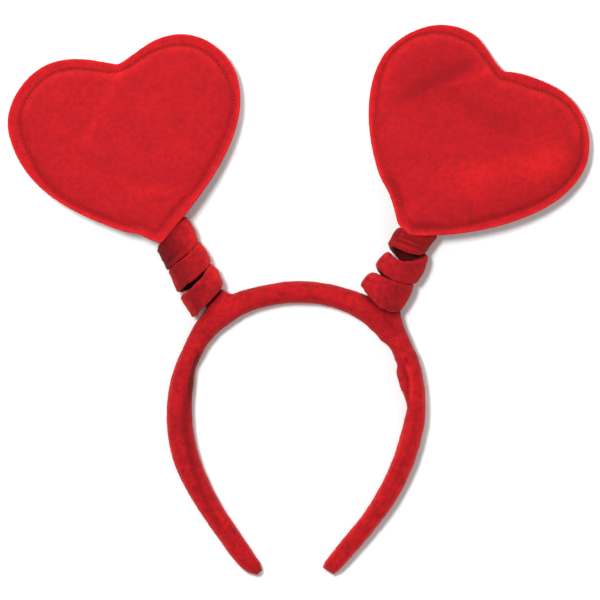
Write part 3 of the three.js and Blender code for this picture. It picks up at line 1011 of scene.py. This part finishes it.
@dataclass
class Headband:
    """One plush sleeve over a hoop, lying on its edge, with a flare at each spring's root."""

    crown_radius: float = 57 * MM
    thickness: float = 10 * MM
    height: float = 15 * MM
    stations: int = 620
    sides: int = 80
    solid_sides: int = 16
    squareness: float = 0.85
    nap: Nap = field(default_factory=lambda: Nap(26000, 0.55 * MM, 0.09 * MM, 50, 11))

    def centre(self, side: Side, share: np.ndarray | float) -> tuple[np.ndarray, np.ndarray]:
        """Place on the band's centre line.

        Args:
            side: The side of the band.
            share: Shares of the way from crown to tip.

        Returns:
            The points, and the directions away from the head.
        """
        runs = BAND_RUNS[side]
        left = np.asarray(share, float) * sum(run for run, _ in runs)
        heading = np.zeros_like(left)
        x = np.zeros_like(left)
        y = np.full_like(left, self.crown_radius)
        for run, turn in runs:
            part = np.clip(left, 0, run)
            turned = np.radians(turn) * part / run
            chord = part * self.crown_radius * np.sinc(turned / 2 / np.pi)
            x = x + chord * np.cos(heading + turned / 2)
            y = y - chord * np.sin(heading + turned / 2)
            heading = heading + turned
            left = left - part
        flat = np.zeros_like(x)
        point = np.stack([side.sign * x, y, flat], axis=-1)
        outward = np.stack([side.sign * np.sin(heading), np.cos(heading), flat], axis=-1)
        return point, outward

    def half_rings(self, side: Side, share: np.ndarray) -> tuple[np.ndarray, Tones]:
        """Rings of one side of the sleeve, with its folds and seam.

        Args:
            side: The side of the band.
            share: Shares of the way from crown to tip.

        Returns:
            Points by ring, side and axis, and the painted shade and painted highlight at each.
        """
        sections = SLEEVE_SECTIONS[side]
        point, outward = self.centre(side, share)
        inner = sections.read("inner", share)[:, None] * self.thickness
        outer = sections.read("outer", share)[:, None] * self.thickness
        half = sections.read("tall", share)[:, None] * self.height / 2
        angle = 2 * np.pi * (np.arange(self.sides) + 0.5) / self.sides
        across, up = rounded(angle, self.squareness)
        reach = across * np.where(across > 0, outer, inner)
        plush = Plush(share, across, up)
        if side is Side.LEFT:
            plush.fold_left()
        else:
            plush.fold_right()
        reach = reach + plush.pull * np.sign(plush.across)
        rings = point[:, None, :] + outward[:, None, :] * reach[..., None]
        # The sleeve rests on a flat strip, as wide as one side of its solid
        rest = rounded(np.pi * (1.5 + 1 / self.solid_sides), self.squareness)[1] * half
        rings[..., 2] = np.maximum(up * half - plush.drop * np.clip(up, 0, 1) - rest, 0)
        return rings, {"shade": plush.dark, "painted_highlight": plush.bright}

    def build(self) -> bpy.types.Object:
        """Builds the sleeve.

        Returns:
            The sleeve, which replaces the headband's solid.
        """
        half = self.stations // 2
        share = np.arange(1, half + 1) / half
        left, left_tones = self.half_rings(Side.LEFT, share[::-1])
        right, right_tones = self.half_rings(Side.RIGHT, np.concatenate([[0.0], share]))
        rings = np.concatenate([left, right]) + ORIGIN
        tones = {name: np.concatenate([left_tones[name], right_tones[name]]) for name in left_tones}
        made = tube_mesh("headband_sleeve", rings, tones)
        points, normals = points_of(made), normals_of(made)
        relief = rumples(points, 1, (0.14, 7.5), (0.14, 3.4), (0.09, 1.5)) * MM
        free = smooth(0.0, 1.5 * MM, points[:, 2])
        points = points + normals * (relief * free)[:, None]
        points[:, 2] = np.maximum(points[:, 2], 0)
        move_points(made, points)
        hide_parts("headband")
        dress(made, BAND_VELOUR.material())
        hairs = self.nap.grow("headband_nap", made)
        dress(hairs, BAND_NAP.material())
        return made


@dataclass
class Spring:
    """A flat plush ribbon wound as a coil, from its root in the band into its heart."""

    side: Side
    band: Headband
    diameter: float = 20 * MM
    pitch: float = 13.2 * MM
    ribbon_thickness: float = 2.8 * MM
    corner: float = 1.0 * MM
    start: float = 0.03
    end: float = 3.68
    right_swell: float = 1.3 * MM
    full_fold: float = 0.4
    steps_per_turn: int = 110
    flat_points: int = 14
    corner_points: int = 5

    def axis(self) -> tuple[np.ndarray, np.ndarray, np.ndarray]:
        """The coil's axis, which lies along the table.

        Returns:
            Its start, its direction and the direction across it.
        """
        stance = STANCES[self.side]
        point, outward = self.band.centre(self.side, stance.foot)
        start = point + outward * stance.foot_out * self.band.thickness
        start[2] = self.diameter / 2
        lean = np.radians(stance.spring_lean)
        along = np.array([-np.sin(lean), np.cos(lean), 0.0])
        across = np.array([np.cos(lean), np.sin(lean), 0.0])
        return start, along, across

    def edges(self, turns: np.ndarray) -> tuple[np.ndarray, np.ndarray, np.ndarray]:
        """The two edges of the ribbon's outer face, and the way off the coil's axis."""
        start, along, across = self.axis()
        rows = RIBBON_ROWS[self.side]
        angle = (turns + 0.25) * 2 * np.pi
        outward = np.cos(angle)[:, None] * np.array([0, 0, 1.0]) + np.sin(angle)[:, None] * across
        low, high = (
            start
            + (rows.read(edge, turns) * self.pitch)[:, None] * along
            + (rows.read(f"{edge}_reach", turns) * self.diameter / 2)[:, None] * outward
            for edge in ("low", "high")
        )
        return low, high, outward

    def section(self) -> tuple[np.ndarray, np.ndarray]:
        """Points round the ribbon's flat section with its four corners rounded.

        Returns:
            For each point the corner that it belongs to, as shares of the half sizes, and
            its place about that corner, as shares of the corner's radius.
        """
        flat = np.linspace(1, -1, self.flat_points + 2)[1:-1]
        turn = np.linspace(0, np.pi / 2, self.corner_points)
        corners: list[tuple[float, float]] = []
        places: list[tuple[float, float]] = []
        for quarter, (across, up) in enumerate(((1, 1), (-1, 1), (-1, -1), (1, -1))):
            for angle in turn + quarter * np.pi / 2:
                corners.append((across, up))
                places.append((np.cos(angle), np.sin(angle)))
            if quarter in (0, 2):
                corners += [(x * up, up) for x in flat]
                places += [(0.0, up)] * len(flat)
        return np.array(corners), np.array(places)

    def folds(
        self, turns: np.ndarray, share: np.ndarray, outside: np.ndarray
    ) -> tuple[np.ndarray, np.ndarray, np.ndarray]:
        """Raised folds along the ribbon's outer face.

        Args:
            turns: Turns of the coil, one a ring.
            share: Places across the ribbon from -1 to 1, by ring and side.
            outside: One on the outer face, by ring and side.

        Returns:
            How far the folds rise, and the painted highlight on their ridges and painted shade in their
            hollows.
        """
        rise, ridges, hollows = 0 * share, 0 * share, 0 * share
        for fold in FOLD_ROWS[self.side].rows():
            here = outside * bell(turns, fold["turn"], fold["long"])[:, None]
            ridge = here * bell(share, fold["share"], fold["wide"])
            beyond = fold["share"] + 1.7 * fold["wide"]
            hollow = here * bell(share, beyond, fold["wide"])
            rise = rise + ridge * fold["rise"] * MM
            ridges = ridges + ridge * fold["rise"] / self.full_fold
            hollows = hollows + hollow * fold["rise"] / self.full_fold
        return rise, ridges, hollows

    def rings(self) -> tuple[np.ndarray, Tones]:
        """Rings of the ribbon with puffed rims.

        Returns:
            Points by ring, side and axis, and the painted shade and painted highlight at each.
        """
        count = int(round((self.end - self.start) * self.steps_per_turn))
        turns = np.linspace(self.start, self.end, count + 1)
        low, high, outward = self.edges(turns)
        widthwise = unit(high - low)
        half_width = np.linalg.norm(high - low, axis=1)[:, None] / 2
        thickwise = unit(outward - widthwise * np.sum(outward * widthwise, axis=1)[:, None])
        half_thickness = self.ribbon_thickness / 2
        middle = (low + high) / 2 - thickwise * half_thickness
        corners, places = self.section()
        across = corners[:, 0][None, :] * (half_width - self.corner) + self.corner * places[:, 0]
        up = corners[:, 1] * (half_thickness - self.corner) + self.corner * places[:, 1]
        share = across / half_width
        up = up[None, :] * (1 + 0.12 * bell(np.abs(share), 0.82, 0.13) - 0.1 * bell(share, 0, 0.5))
        outside = smooth(-0.4, 0.4, up / half_thickness)
        right_edge = bell((turns + 0.5) % 1.0, 0.5, 0.1)[:, None]
        left_edge = bell(turns % 1.0, 0.5, 0.1)[:, None]
        # The plush swells out along the sides of the coil and stands up in folds
        stance = STANCES[self.side]
        right_swell = self.right_swell * (turns < stance.right_swell_end)[:, None]
        swell = right_swell * right_edge + stance.left_swell * MM * left_edge
        rise, ridges, hollows = self.folds(turns, share, outside)
        up = up + outside * swell * (1 - share**2) + rise
        rings = (
            middle[:, None, :]
            + widthwise[:, None, :] * across[..., None]
            + thickwise[:, None, :] * up[..., None]
        )
        # Painted shade on the ribbon's inner face, on its outer face as dim gives and in hollows by
        # folds; painted highlight on its rims, the coil's right edge and fold ridges
        rim = bell(np.abs(share), 1.0, 0.12)
        dim = RIBBON_ROWS[self.side].read("dim", turns)[:, None]
        dark = 1.0 - outside + np.maximum(dim, 0) * outside * (1 - 0.7 * rim) + 0.3 * hollows
        bright = outside * (0.8 * right_edge * (1 - dim) + 0.45 * rim) + 0.85 * ridges
        bright = bright + outside * 0.5 * np.maximum(-dim, 0)
        return rings, {"shade": dark, "painted_highlight": bright}

    def paint_contact_shade(self, sleeve: bpy.types.Object) -> None:
        """Paints shade on the band's plush along the coil's first turn, where the coil meets the band.

        Args:
            sleeve: The band's sleeve.
        """
        edge = self.edges(np.linspace(0.5, 1.02, 60))[0] + ORIGIN
        points = points_of(sleeve)
        off = np.linalg.norm(points[:, None, :2] - edge[None, :, :2], axis=2).min(axis=1)
        shade = np.empty(len(points))
        sleeve.data.attributes["shade"].data.foreach_get("value", shade)
        tint(sleeve, "shade", shade + 0.8 * bell(off, 0.3 * MM, 1.4 * MM))

    def build(self) -> bpy.types.Object:
        """Builds the ribbon.

        Returns:
            The ribbon, which replaces the spring's solid.
        """
        rings, tones = self.rings()
        made = tube_mesh(f"{self.side.value}_spring_ribbon", rings + ORIGIN, tones)
        points, normals = points_of(made), normals_of(made)
        seed = 5.0 + self.side.sign
        relief = rumples(points, seed, (0.32, 5.5), (0.26, 2.4), (0.12, 1.1)) * MM
        points = points + normals * relief[:, None]
        points[:, 2] = np.maximum(points[:, 2], 0.0001)
        move_points(made, points)
        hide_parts(f"{self.side.value}_spring")
        dress(made, SPRING_VELOUR.material())
        nap = Nap(13000, 0.55 * MM, 0.09 * MM, 50, 21 + self.side.sign)
        hairs = nap.grow(f"{self.side.value}_spring_nap", made)
        dress(hairs, SPRING_NAP.material())
        return made


@dataclass
class Heart:
    """Two felt panels sewn face to face over wadding, with a raw flange round the stitches."""

    side: Side
    spring: Spring
    length: float = 91 * MM
    padding: float = 4 * MM
    felt: float = 1.3 * MM
    gap: float = 0.3 * MM
    flange: float = 4.5 * MM
    stitch_pitch: float = 1.9 * MM
    outline_points: int = 160
    fine_points: int = 640
    mesh_size: float = 3.3 * MM
    swell: float = 1.6 * MM

    def curve(self, corners: list[tuple[float, float]], count: int) -> np.ndarray:
        """Points evenly spaced on a chain of cubic Bezier curves.

        Args:
            corners: The first point, then three points for each curve.
            count: How many points to give, the chain's end left out.

        Returns:
            The points, one a row.
        """
        t = np.linspace(0, 1, 400)[:, None]
        chain = []
        for i in range(0, len(corners) - 1, 3):
            p = np.array(corners[i : i + 4])
            chain.append(
                p[0] * (1 - t) ** 3
                + p[1] * 3 * t * (1 - t) ** 2
                + p[2] * 3 * t**2 * (1 - t)
                + p[3] * t**3
            )
        path = np.concatenate(chain)
        run = run_of(path)
        return walk(path, run, np.linspace(0, run[-1], count + 1)[:-1])

    def outline(self, count: int) -> np.ndarray:
        """Outline in the heart's own plane, anticlockwise from its tip, with the cleft up Y.

        Args:
            count: How many points to give.

        Returns:
            The points, one a row.
        """
        cleft = STANCES[self.side].cleft
        halves = []
        for half in reversed(HEART_HALVES[self.side]):
            tip, notch = np.radians(half.tip_angle), np.radians(half.cleft_angle)
            shares = [
                (0, 0),
                (half.tip_pull * np.cos(tip), half.tip_pull * np.sin(tip)),
                (half.wide, half.wide_at - half.low_pull),
                (half.wide, half.wide_at),
                (half.wide, half.wide_at + half.high_pull),
                (half.lobe + half.out_pull, half.top),
                (half.lobe, half.top),
                (half.lobe - half.in_pull, half.top),
                (half.cleft_pull * np.cos(notch), cleft + half.cleft_pull * np.sin(notch)),
                (0, cleft),
            ]
            corners = [(half.side * x * self.length, y * self.length) for x, y in shares]
            halves.append(corners if half.side > 0 else corners[::-1])
        points = np.concatenate([self.curve(corners, count // 2) for corners in halves])
        share = np.arange(len(points)) / len(points)
        reach = sum(row["out"] * bell(share, row["at"], row["wide"]) for row in BULGES[self.side].rows())
        return self.inset(points, -reach * MM)

    def inset(self, outline: np.ndarray, distance: np.ndarray | float) -> np.ndarray:
        """The outline moved inwards towards the heart's middle.

        Args:
            outline: Its points.
            distance: How far each point moves off the edge.

        Returns:
            The moved points.
        """
        middle = np.array([0, 0.56 * self.length])
        ray = outline - middle
        share = np.exp(-np.asarray(distance) / np.sum(ray * off_edge(outline), axis=1))
        return middle + ray * share[:, None]

    def stitch_inset(self, share: np.ndarray) -> np.ndarray:
        """Distance of the stitches from the edge at shares of the way round."""
        return STITCH_ROWS[self.side].read("inset", share) * MM

    def panel(self) -> tuple[bpy.types.Object, int]:
        """Builds the closed shell of felt before it is stuffed.

        Returns:
            The shell in the heart's own axes, and how many of its points stay sewn.
        """
        outline = self.outline(self.outline_points)
        sewn = self.stitch_inset(np.arange(len(outline)) / len(outline))
        top = self.felt + self.gap / 2
        # Each row moves in from the edge by millimetres and by shares of the flange
        rows = [
            (0.0, 0.0, self.gap / 2),
            (0.0, 0.0, 0.6 * top),
            (0.22 * MM, 0.0, 0.93 * top),
            (0.7 * MM, 0.0, top),
            (0.0, 0.45, top),
            (-0.9 * MM, 1.0, top),
            (-0.3 * MM, 1.0, 0.8 * top),
            (0.3 * MM, 1.0, 0.8 * top),
            (0.9 * MM, 1.0, top * 1.1),
            (1.9 * MM, 1.0, top + 0.3 * self.padding),
            (3.4 * MM, 1.0, top + 0.52 * self.padding),
        ]
        points: list[tuple[float, float, float]] = []
        faces: list[tuple[int, ...]] = []
        count = len(outline)
        groove = self.inset(outline, 0.55 * MM)
        points += [(x, y, 0.0) for x, y in groove]
        starts = {1: [0], -1: [0]}
        for facing in (1, -1):
            for away, share, height in rows:
                starts[facing].append(len(points))
                ring = self.inset(outline, away + share * sewn)
                points += [(x, y, facing * height) for x, y in ring]
        pinned = len(points)
        for facing in (1, -1):
            chain = starts[facing]
            for low, high in zip(chain, chain[1:]):
                for i in range(count):
                    j = (i + 1) % count
                    face = (low + i, low + j, high + j, high + i)
                    faces.append(face if facing > 0 else face[::-1])
        inner = self.inset(outline, rows[-1][0] + sewn)
        filling, triangles = self.fill(inner)
        for facing in (1, -1):
            edge = starts[facing][-1]
            base = len(points)
            rise = smooth(0, 10 * MM, self.nearest(filling, inner)[0])
            height = top + self.padding * (0.52 + 0.2 * rise)
            points += [(x, y, facing * z) for (x, y), z in zip(filling, height)]
            for triangle in triangles:
                face = tuple(edge + k if k < count else base + k - count for k in triangle)
                faces.append(face if facing > 0 else face[::-1])
        mesh = bpy.data.meshes.new(f"{self.side.value}_heart_pad")
        mesh.from_pydata(points, [], faces)
        return place_mesh(mesh), pinned

    def nearest(self, points: np.ndarray, edge: np.ndarray) -> tuple[np.ndarray, np.ndarray]:
        """Distance of each point from the nearest point of an edge, and which one that is."""
        tree = KDTree(len(edge))
        for i, (x, y) in enumerate(edge):
            tree.insert((x, y, 0), i)
        tree.balance()
        found = [tree.find((x, y, 0)) for x, y in points]
        return np.array([hit[2] for hit in found]), np.array([hit[1] for hit in found])

    def fill(self, edge: np.ndarray) -> tuple[np.ndarray, list[list[int]]]:
        """Fills an outline with even triangles.

        Args:
            edge: The outline's points.

        Returns:
            New inner points, and triangles that count the edge's points first.
        """
        low, high = edge.min(0), edge.max(0)
        size = self.mesh_size
        grid = [
            (x + (size / 2 if row % 2 else 0), y)
            for row, y in enumerate(np.arange(low[1], high[1], size * 0.866))
            for x in np.arange(low[0], high[0], size)
        ]
        inside = np.array([p for p in grid if self.contains(edge, p)])
        inside = inside[self.nearest(inside, edge)[0] > 0.62 * size]
        every = [Vector(p) for p in np.concatenate([edge, inside]).tolist()]
        made = delaunay_2d_cdt(every, [], [list(range(len(edge)))], 1, 1e-7)
        return inside, [list(face) for face in made[2]]

    @staticmethod
    def contains(edge: np.ndarray, point: tuple[float, float]) -> bool:
        """Whether a point lies inside an outline."""
        x, y = point
        after = np.roll(edge, -1, axis=0)
        crosses = (edge[:, 1] > y) != (after[:, 1] > y)
        with np.errstate(divide="ignore", invalid="ignore"):
            meet = edge[:, 0] + (y - edge[:, 1]) / (after[:, 1] - edge[:, 1]) * (
                after[:, 0] - edge[:, 0]
            )
        return bool(np.sum(crosses & (x < meet)) % 2)

    def stuff(self, shell: bpy.types.Object, pinned: int) -> None:
        """Blows the shell up from inside as cloth, with its flange and stitches held.

        Args:
            shell: The shell in the heart's own axes.
            pinned: How many of its points stay where they are.
        """
        grown = 12.0
        before = points_of(shell)
        move_points(shell, before * grown)
        held = shell.vertex_groups.new(name="sewn")
        held.add(list(range(pinned)), 1.0, "REPLACE")
        cloth = shell.modifiers.new("wadding", "CLOTH")
        settings = cloth.settings
        settings.quality = 5
        settings.mass = 0.05
        settings.air_damping = 2.0
        settings.tension_stiffness = 12
        settings.compression_stiffness = 12
        settings.shear_stiffness = 6
        settings.bending_stiffness = 0.4
        settings.use_pressure = True
        settings.uniform_pressure_force = 4
        settings.shrink_min = -0.015
        settings.vertex_group_mass = "sewn"
        settings.effector_weights.gravity = 0
        steps = 20
        cloth.point_cache.frame_start = 1
        cloth.point_cache.frame_end = steps
        scene = bpy.context.scene
        for step in range(1, steps + 1):
            scene.frame_set(step)
        apply(shell, cloth)
        after = points_of(shell) / grown
        scene.frame_set(1)
        moved = after - before
        far = np.linalg.norm(moved, axis=1)
        LOG.info("%s: stuffing moved it by up to %.2f mm", shell.name, far.max() / MM)
        limit = self.swell * np.tanh(far / self.swell)
        moved = moved * (limit / np.maximum(far, 1e-12))[:, None]
        move_points(shell, before + moved)

    def refine(self, shell: bpy.types.Object) -> None:
        """Subdivides the stuffed shell and applies it."""
        finer = shell.modifiers.new("finer", "SUBSURF")
        finer.levels = 2
        finer.render_levels = 2
        apply(shell, finer)

    def stitch_path(self, pitch: float) -> tuple[np.ndarray, np.ndarray]:
        """Points spaced evenly along the stitch line.

        Args:
            pitch: Wanted distance between them.

        Returns:
            The points in the heart's plane, one a row, and how hard the thread pulls there.
        """
        outline = self.outline(self.fine_points)
        share = np.arange(len(outline) + 1) / len(outline)
        line = self.inset(outline, self.stitch_inset(share[:-1]))
        line = np.concatenate([line, line[:1]])
        run = run_of(line)
        places = np.linspace(0, run[-1], int(round(run[-1] / pitch)) + 1)[:-1]
        pull = STITCH_ROWS[self.side].read("pull", np.interp(places, run, share))
        return walk(line, run, places), np.clip(pull, 0.05, 1)

    def creases(
        self, flat: np.ndarray, front: np.ndarray
    ) -> tuple[np.ndarray, np.ndarray, np.ndarray]:
        """Soft creases of the heart's front.

        Args:
            flat: Points in the heart's plane, one a row.
            front: One on the front, one number a point.

        Returns:
            How far the creases sink in millimetres, and the painted shade and painted highlight along
            them.
        """
        sunk, dark, bright = (np.zeros(len(flat)) for _ in range(3))
        for crease in CREASES[self.side].rows():
            first = np.array([crease["x"], crease["y"]]) * self.length
            way = np.array([crease["to_x"], crease["to_y"]]) * self.length - first
            share = np.clip((flat - first) @ way / (way @ way), 0, 1)
            off = np.linalg.norm(flat - first - share[:, None] * way, axis=1)
            here = bell(off, 0, crease["wide"] * MM) * front
            sunk += crease["sunk"] * here
            dark += max(crease["tone"], 0) * here
            bright += max(-crease["tone"], 0) * here
        return sunk, dark, bright

    def work(self, shell: bpy.types.Object) -> None:
        """Presses the stitch groove, its needle holes, creases and soft lumps into the felt, and paints
        shade and highlight on it.
        """
        points, normals = points_of(shell), normals_of(shell)
        holes, hole_pull = self.stitch_path(self.stitch_pitch)
        line, line_pull = self.stitch_path(0.4 * MM)
        flat = points[:, :2]
        to_hole, nearest = self.nearest(flat, holes)
        hole_pull = hole_pull[nearest]
        to_line, nearest = self.nearest(flat, line)
        line_pull = line_pull[nearest]
        outline = self.outline(self.fine_points)
        to_edge, nearest = self.nearest(flat, outline)
        sewn = self.stitch_inset(nearest / len(outline))
        facing = smooth(0.3, 0.8, np.abs(normals[:, 2]))
        front = facing * (normals[:, 2] > 0)
        groove, hole = bell(to_line, 0, 0.6 * MM), bell(to_hole, 0, 0.45 * MM)
        press = (0.22 * groove * line_pull + 0.22 * hole * hole_pull) * facing
        seed = 9.0 + self.side.sign
        inner = smooth(0.0, 3 * MM, to_edge - sewn)
        relief = 0.25 * lumps(points, 17 * MM, seed) * inner
        relief += rumples(points, seed + 1, (0.08, 5), (0.04, 1.6))
        # Painted shade in the stitch groove and its needle holes
        dark = facing * (0.11 * groove * line_pull + 0.2 * hole * hole_pull)
        # Painted highlight along the edge, and a little on the flange near the stitches
        rim = bell(to_edge, 0, 1.0 * MM)
        if self.side is Side.LEFT:
            # The left heart's edge lies flat into the plush of its spring, and takes less painted
            # highlight there
            rim = rim * (1 - 0.85 * bell(nearest / len(outline), 0.035, 0.03))
        bright = 0.85 * rim + 0.25 * (1 - inner) * (1 - groove)
        # Painted highlight on the shoulder inside the stitches where it faces up the picture, and a
        # faint painted shade where it faces down it
        lean = np.radians(STANCES[self.side].heart_lean)
        upward = (off_edge(outline) @ np.array([np.sin(lean), np.cos(lean)]))[nearest]
        shoulder = bell(to_edge - sewn, 2.0 * MM, 2.6 * MM) * (to_edge > sewn) * front
        slope = bell(to_edge - sewn, 2.0 * MM, 4.0 * MM) * (to_edge > sewn) * front
        bright += 0.5 * shoulder * smooth(-0.1, 0.5, upward)
        dark += 0.02 * slope * smooth(-0.1, 0.5, -upward)
        sunk, crease_dark, crease_bright = self.creases(flat, front)
        move_points(shell, points + normals * ((relief - sunk - press) * MM)[:, None])
        tint(shell, "shade", dark + crease_dark)
        tint(shell, "painted_highlight", bright + crease_bright)

    def placement(self) -> Matrix:
        """Where the heart lies: its tip over the spring's top turn, its lobes on the table.

        Returns:
            The matrix from the heart's axes to the frame.
        """
        stance = STANCES[self.side]
        start, along, across = self.spring.axis()
        tip = (
            start
            + along * stance.tip_rise * self.spring.pitch
            + across * stance.tip_shift * self.spring.diameter / 2
        )
        tip[2] = self.spring.diameter + self.felt + 1.5 * self.gap
        depth = self.gap / 2 + self.felt
        outline = self.outline(60)
        tilt = np.pi / 2
        for away, down in ((0.16, 0.0), (1.25, 0.2), (1.8, 0.52), (2.9, 0.8), (5.0, 0.95), (9.0, 1)):
            ring = self.inset(outline, away * self.flange)
            low = depth + down * self.padding
            far = np.hypot(ring[:, 1], low)
            far, near = far[far > tip[2]], ring[far > tip[2], 1]
            tilt = min(tilt, np.min(np.arcsin(tip[2] / far) - np.arctan2(low, near)))
        LOG.info("%s heart tilts by %.2f degrees", self.side.value, np.degrees(tilt))
        return (
            Matrix.Translation(Vector(tip + ORIGIN))
            @ Matrix.Rotation(np.radians(stance.heart_lean), 4, "Z")
            @ Matrix.Rotation(-tilt, 4, "X")
        )

    def one_stitch(self) -> tuple[np.ndarray, list[tuple[int, ...]]]:
        """Models one stitch of thread, lying along X.

        Returns:
            Its points and its faces.
        """
        bpy.ops.object.select_all(action="DESELECT")
        bpy.ops.mesh.primitive_uv_sphere_add(segments=8, ring_count=6, radius=0.5)
        ball = bpy.context.active_object
        bpy.ops.object.mode_set(mode="EDIT")
        bpy.ops.mesh.select_all(action="SELECT")
        bpy.ops.transform.rotate(
            value=np.pi / 2, orient_axis="Y", center_override=(0.0, 0.0, 0.0)
        )
        bpy.ops.transform.resize(value=(1.0, 0.36, 0.36))
        bpy.ops.object.mode_set(mode="OBJECT")
        points = points_of(ball)
        faces = [tuple(face.vertices) for face in ball.data.polygons]
        bpy.data.objects.remove(ball)
        bow = 1 - 4 * points[:, 0] ** 2
        points[:, 2] += 0.10 * bow - 0.10
        return points, faces

    def sew(self, shell: bpy.types.Object) -> bpy.types.Object:
        """Lays the row of stitches into the groove on both faces.

        Args:
            shell: The finished felt in the heart's own axes.

        Returns:
            All the stitches as one object.
        """
        tree = BVHTree.FromPolygons(
            [v.co for v in shell.data.vertices], [tuple(p.vertices) for p in shell.data.polygons]
        )
        stitch, stitch_faces = self.one_stitch()
        holes, pull = self.stitch_path(self.stitch_pitch)
        middles = (holes + np.roll(holes, -1, axis=0)) / 2
        sunk = 0.25 * MM * (1 - pull)
        along = unit(np.roll(holes, -1, axis=0) - holes)
        length = 0.98 * self.stitch_pitch
        points: list[np.ndarray] = []
        faces: list[tuple[int, ...]] = []
        for facing in (1, -1):
            for (x, y), (tx, ty), buried in zip(middles, along, sunk):
                start = Vector((x, y, facing * 0.05))
                hit = tree.ray_cast(start, Vector((0, 0, -facing)))[0]
                if hit is None:
                    continue
                ahead = np.array([tx, ty, 0.0])
                up = np.array([0.0, 0.0, facing])
                beside = np.cross(up, ahead)
                base = len(points) * len(stitch)
                points.append(
                    np.array(hit)
                    + up * (0.02 * MM - buried)
                    + length
                    * (
                        stitch[:, :1] * ahead
                        + stitch[:, 1:2] * beside
                        + stitch[:, 2:] * up
                    )
                )
                faces += [tuple(base + k for k in face) for face in stitch_faces]
        mesh = bpy.data.meshes.new(f"{self.side.value}_heart_stitching")
        mesh.from_pydata(np.concatenate(points).tolist(), [], faces)
        return place_mesh(mesh)

    def build(self) -> bpy.types.Object:
        """Builds the stuffed heart, its stitches and its nap.

        Returns:
            The heart, which replaces its front and back solids.
        """
        shell, pinned = self.panel()
        self.stuff(shell, pinned)
        self.refine(shell)
        self.work(shell)
        stitches = self.sew(shell)
        placement = self.placement()
        for piece in (shell, stitches):
            piece.data.transform(placement)
            points = points_of(piece)
            points[:, 2] = np.maximum(points[:, 2], 0.0001)
            move_points(piece, points)
        name = self.side.value
        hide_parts(f"{name}_heart_front", f"{name}_heart_back")
        dress(shell, HEART_FELT.material())
        dress(stitches, STITCH_THREAD.material())
        nap = Nap(18000, 0.32 * MM, 0.06 * MM, 62, 31 + self.side.sign)
        hairs = nap.grow(f"{name}_heart_nap", shell)
        dress(hairs, HEART_NAP.material())
        return shell


@dataclass
class Studio:
    """Pale table, soft lights and a camera that looks straight down."""

    view_width: float = 0.288
    view_centre: tuple[float, float] = (0.69 * MM, -0.08 * MM)
    camera_height: float = 4.0
    key_power: float = 11.8
    rake_power: float = 3.6
    fill_power: float = 1.6
    sky: float = 0.4

    def build(self) -> None:
        """Builds the table, the lights and the camera."""
        scene = bpy.context.scene
        scene.view_settings.view_transform = "Standard"
        self.table()
        self.light("key", (-0.27, 0.19, 1.2), 0.22, self.key_power)
        self.light("rake", (0.1, 1.05, 0.5), 0.5, self.rake_power)
        self.light("fill", (0.6, -0.8, 1.2), 1.2, self.fill_power)
        world = bpy.data.worlds.new("studio")
        world.use_nodes = True
        background = next(n for n in world.node_tree.nodes if n.type == "BACKGROUND")
        background.inputs["Color"].default_value = (1.0, 1.0, 1.0, 1.0)
        background.inputs["Strength"].default_value = self.sky
        scene.world = world
        lens = bpy.data.cameras.new("camera")
        lens.sensor_width = 36.0
        lens.lens = lens.sensor_width * self.camera_height / self.view_width
        lens.clip_end = 50.0
        camera = bpy.data.objects.new("camera", lens)
        camera.location = (*self.view_centre, self.camera_height)
        scene.collection.objects.link(camera)
        scene.camera = camera

    def table(self) -> None:
        """Lays the pale table under everything."""
        bpy.ops.object.select_all(action="DESELECT")
        bpy.ops.mesh.primitive_plane_add(size=8.0, location=(0, 0, -0.00005))
        table = bpy.context.active_object
        table.name = "table"
        recipe = Recipe("pale table")
        grain = recipe.grain(40.0, 2.0, 0.5).stretched(0.3, 0.7)
        colour = recipe.blend(grain, red(0.89, 0.95, 0.95), red(0.91, 0.965, 0.965))
        table.data.materials.append(
            recipe.finish(
                {
                    "Base Color": colour,
                    "Roughness": 0.8,
                    "Specular IOR Level": 0.1,
                    "Emission Color": red(1.0, 1.0, 1.0),
                    "Emission Strength": 0.03,
                }
            )
        )

    def light(self, name: str, place: tuple[float, float, float], size: float, power: float) -> None:
        """Hangs a soft light that faces the object.

        Args:
            name: The light's name.
            place: Where it hangs.
            size: Side of its square.
            power: Watts.
        """
        data = bpy.data.lights.new(name, "AREA")
        data.shape = "DISK"
        data.size = size
        data.energy = power
        lamp = bpy.data.objects.new(name, data)
        lamp.location = place
        lamp.rotation_mode = "QUATERNION"
        lamp.rotation_quaternion = Vector(place).to_track_quat("Z", "Y")
        lamp.visible_camera = False
        bpy.context.scene.collection.objects.link(lamp)


def main() -> None:
    """Builds every piece in order and reports it."""
    logging.basicConfig(level=logging.INFO, format="%(message)s")
    band = Headband()
    sleeve = band.build()
    built = [sleeve]
    for side in Side:
        spring = Spring(side, band)
        built.append(spring.build())
        spring.paint_contact_shade(sleeve)
        built.append(Heart(side, spring).build())
    for piece in built:
        LOG.info("%s: %d points", piece.name, len(piece.data.vertices))
    Studio().build()


if __name__ == "__main__":
    main()
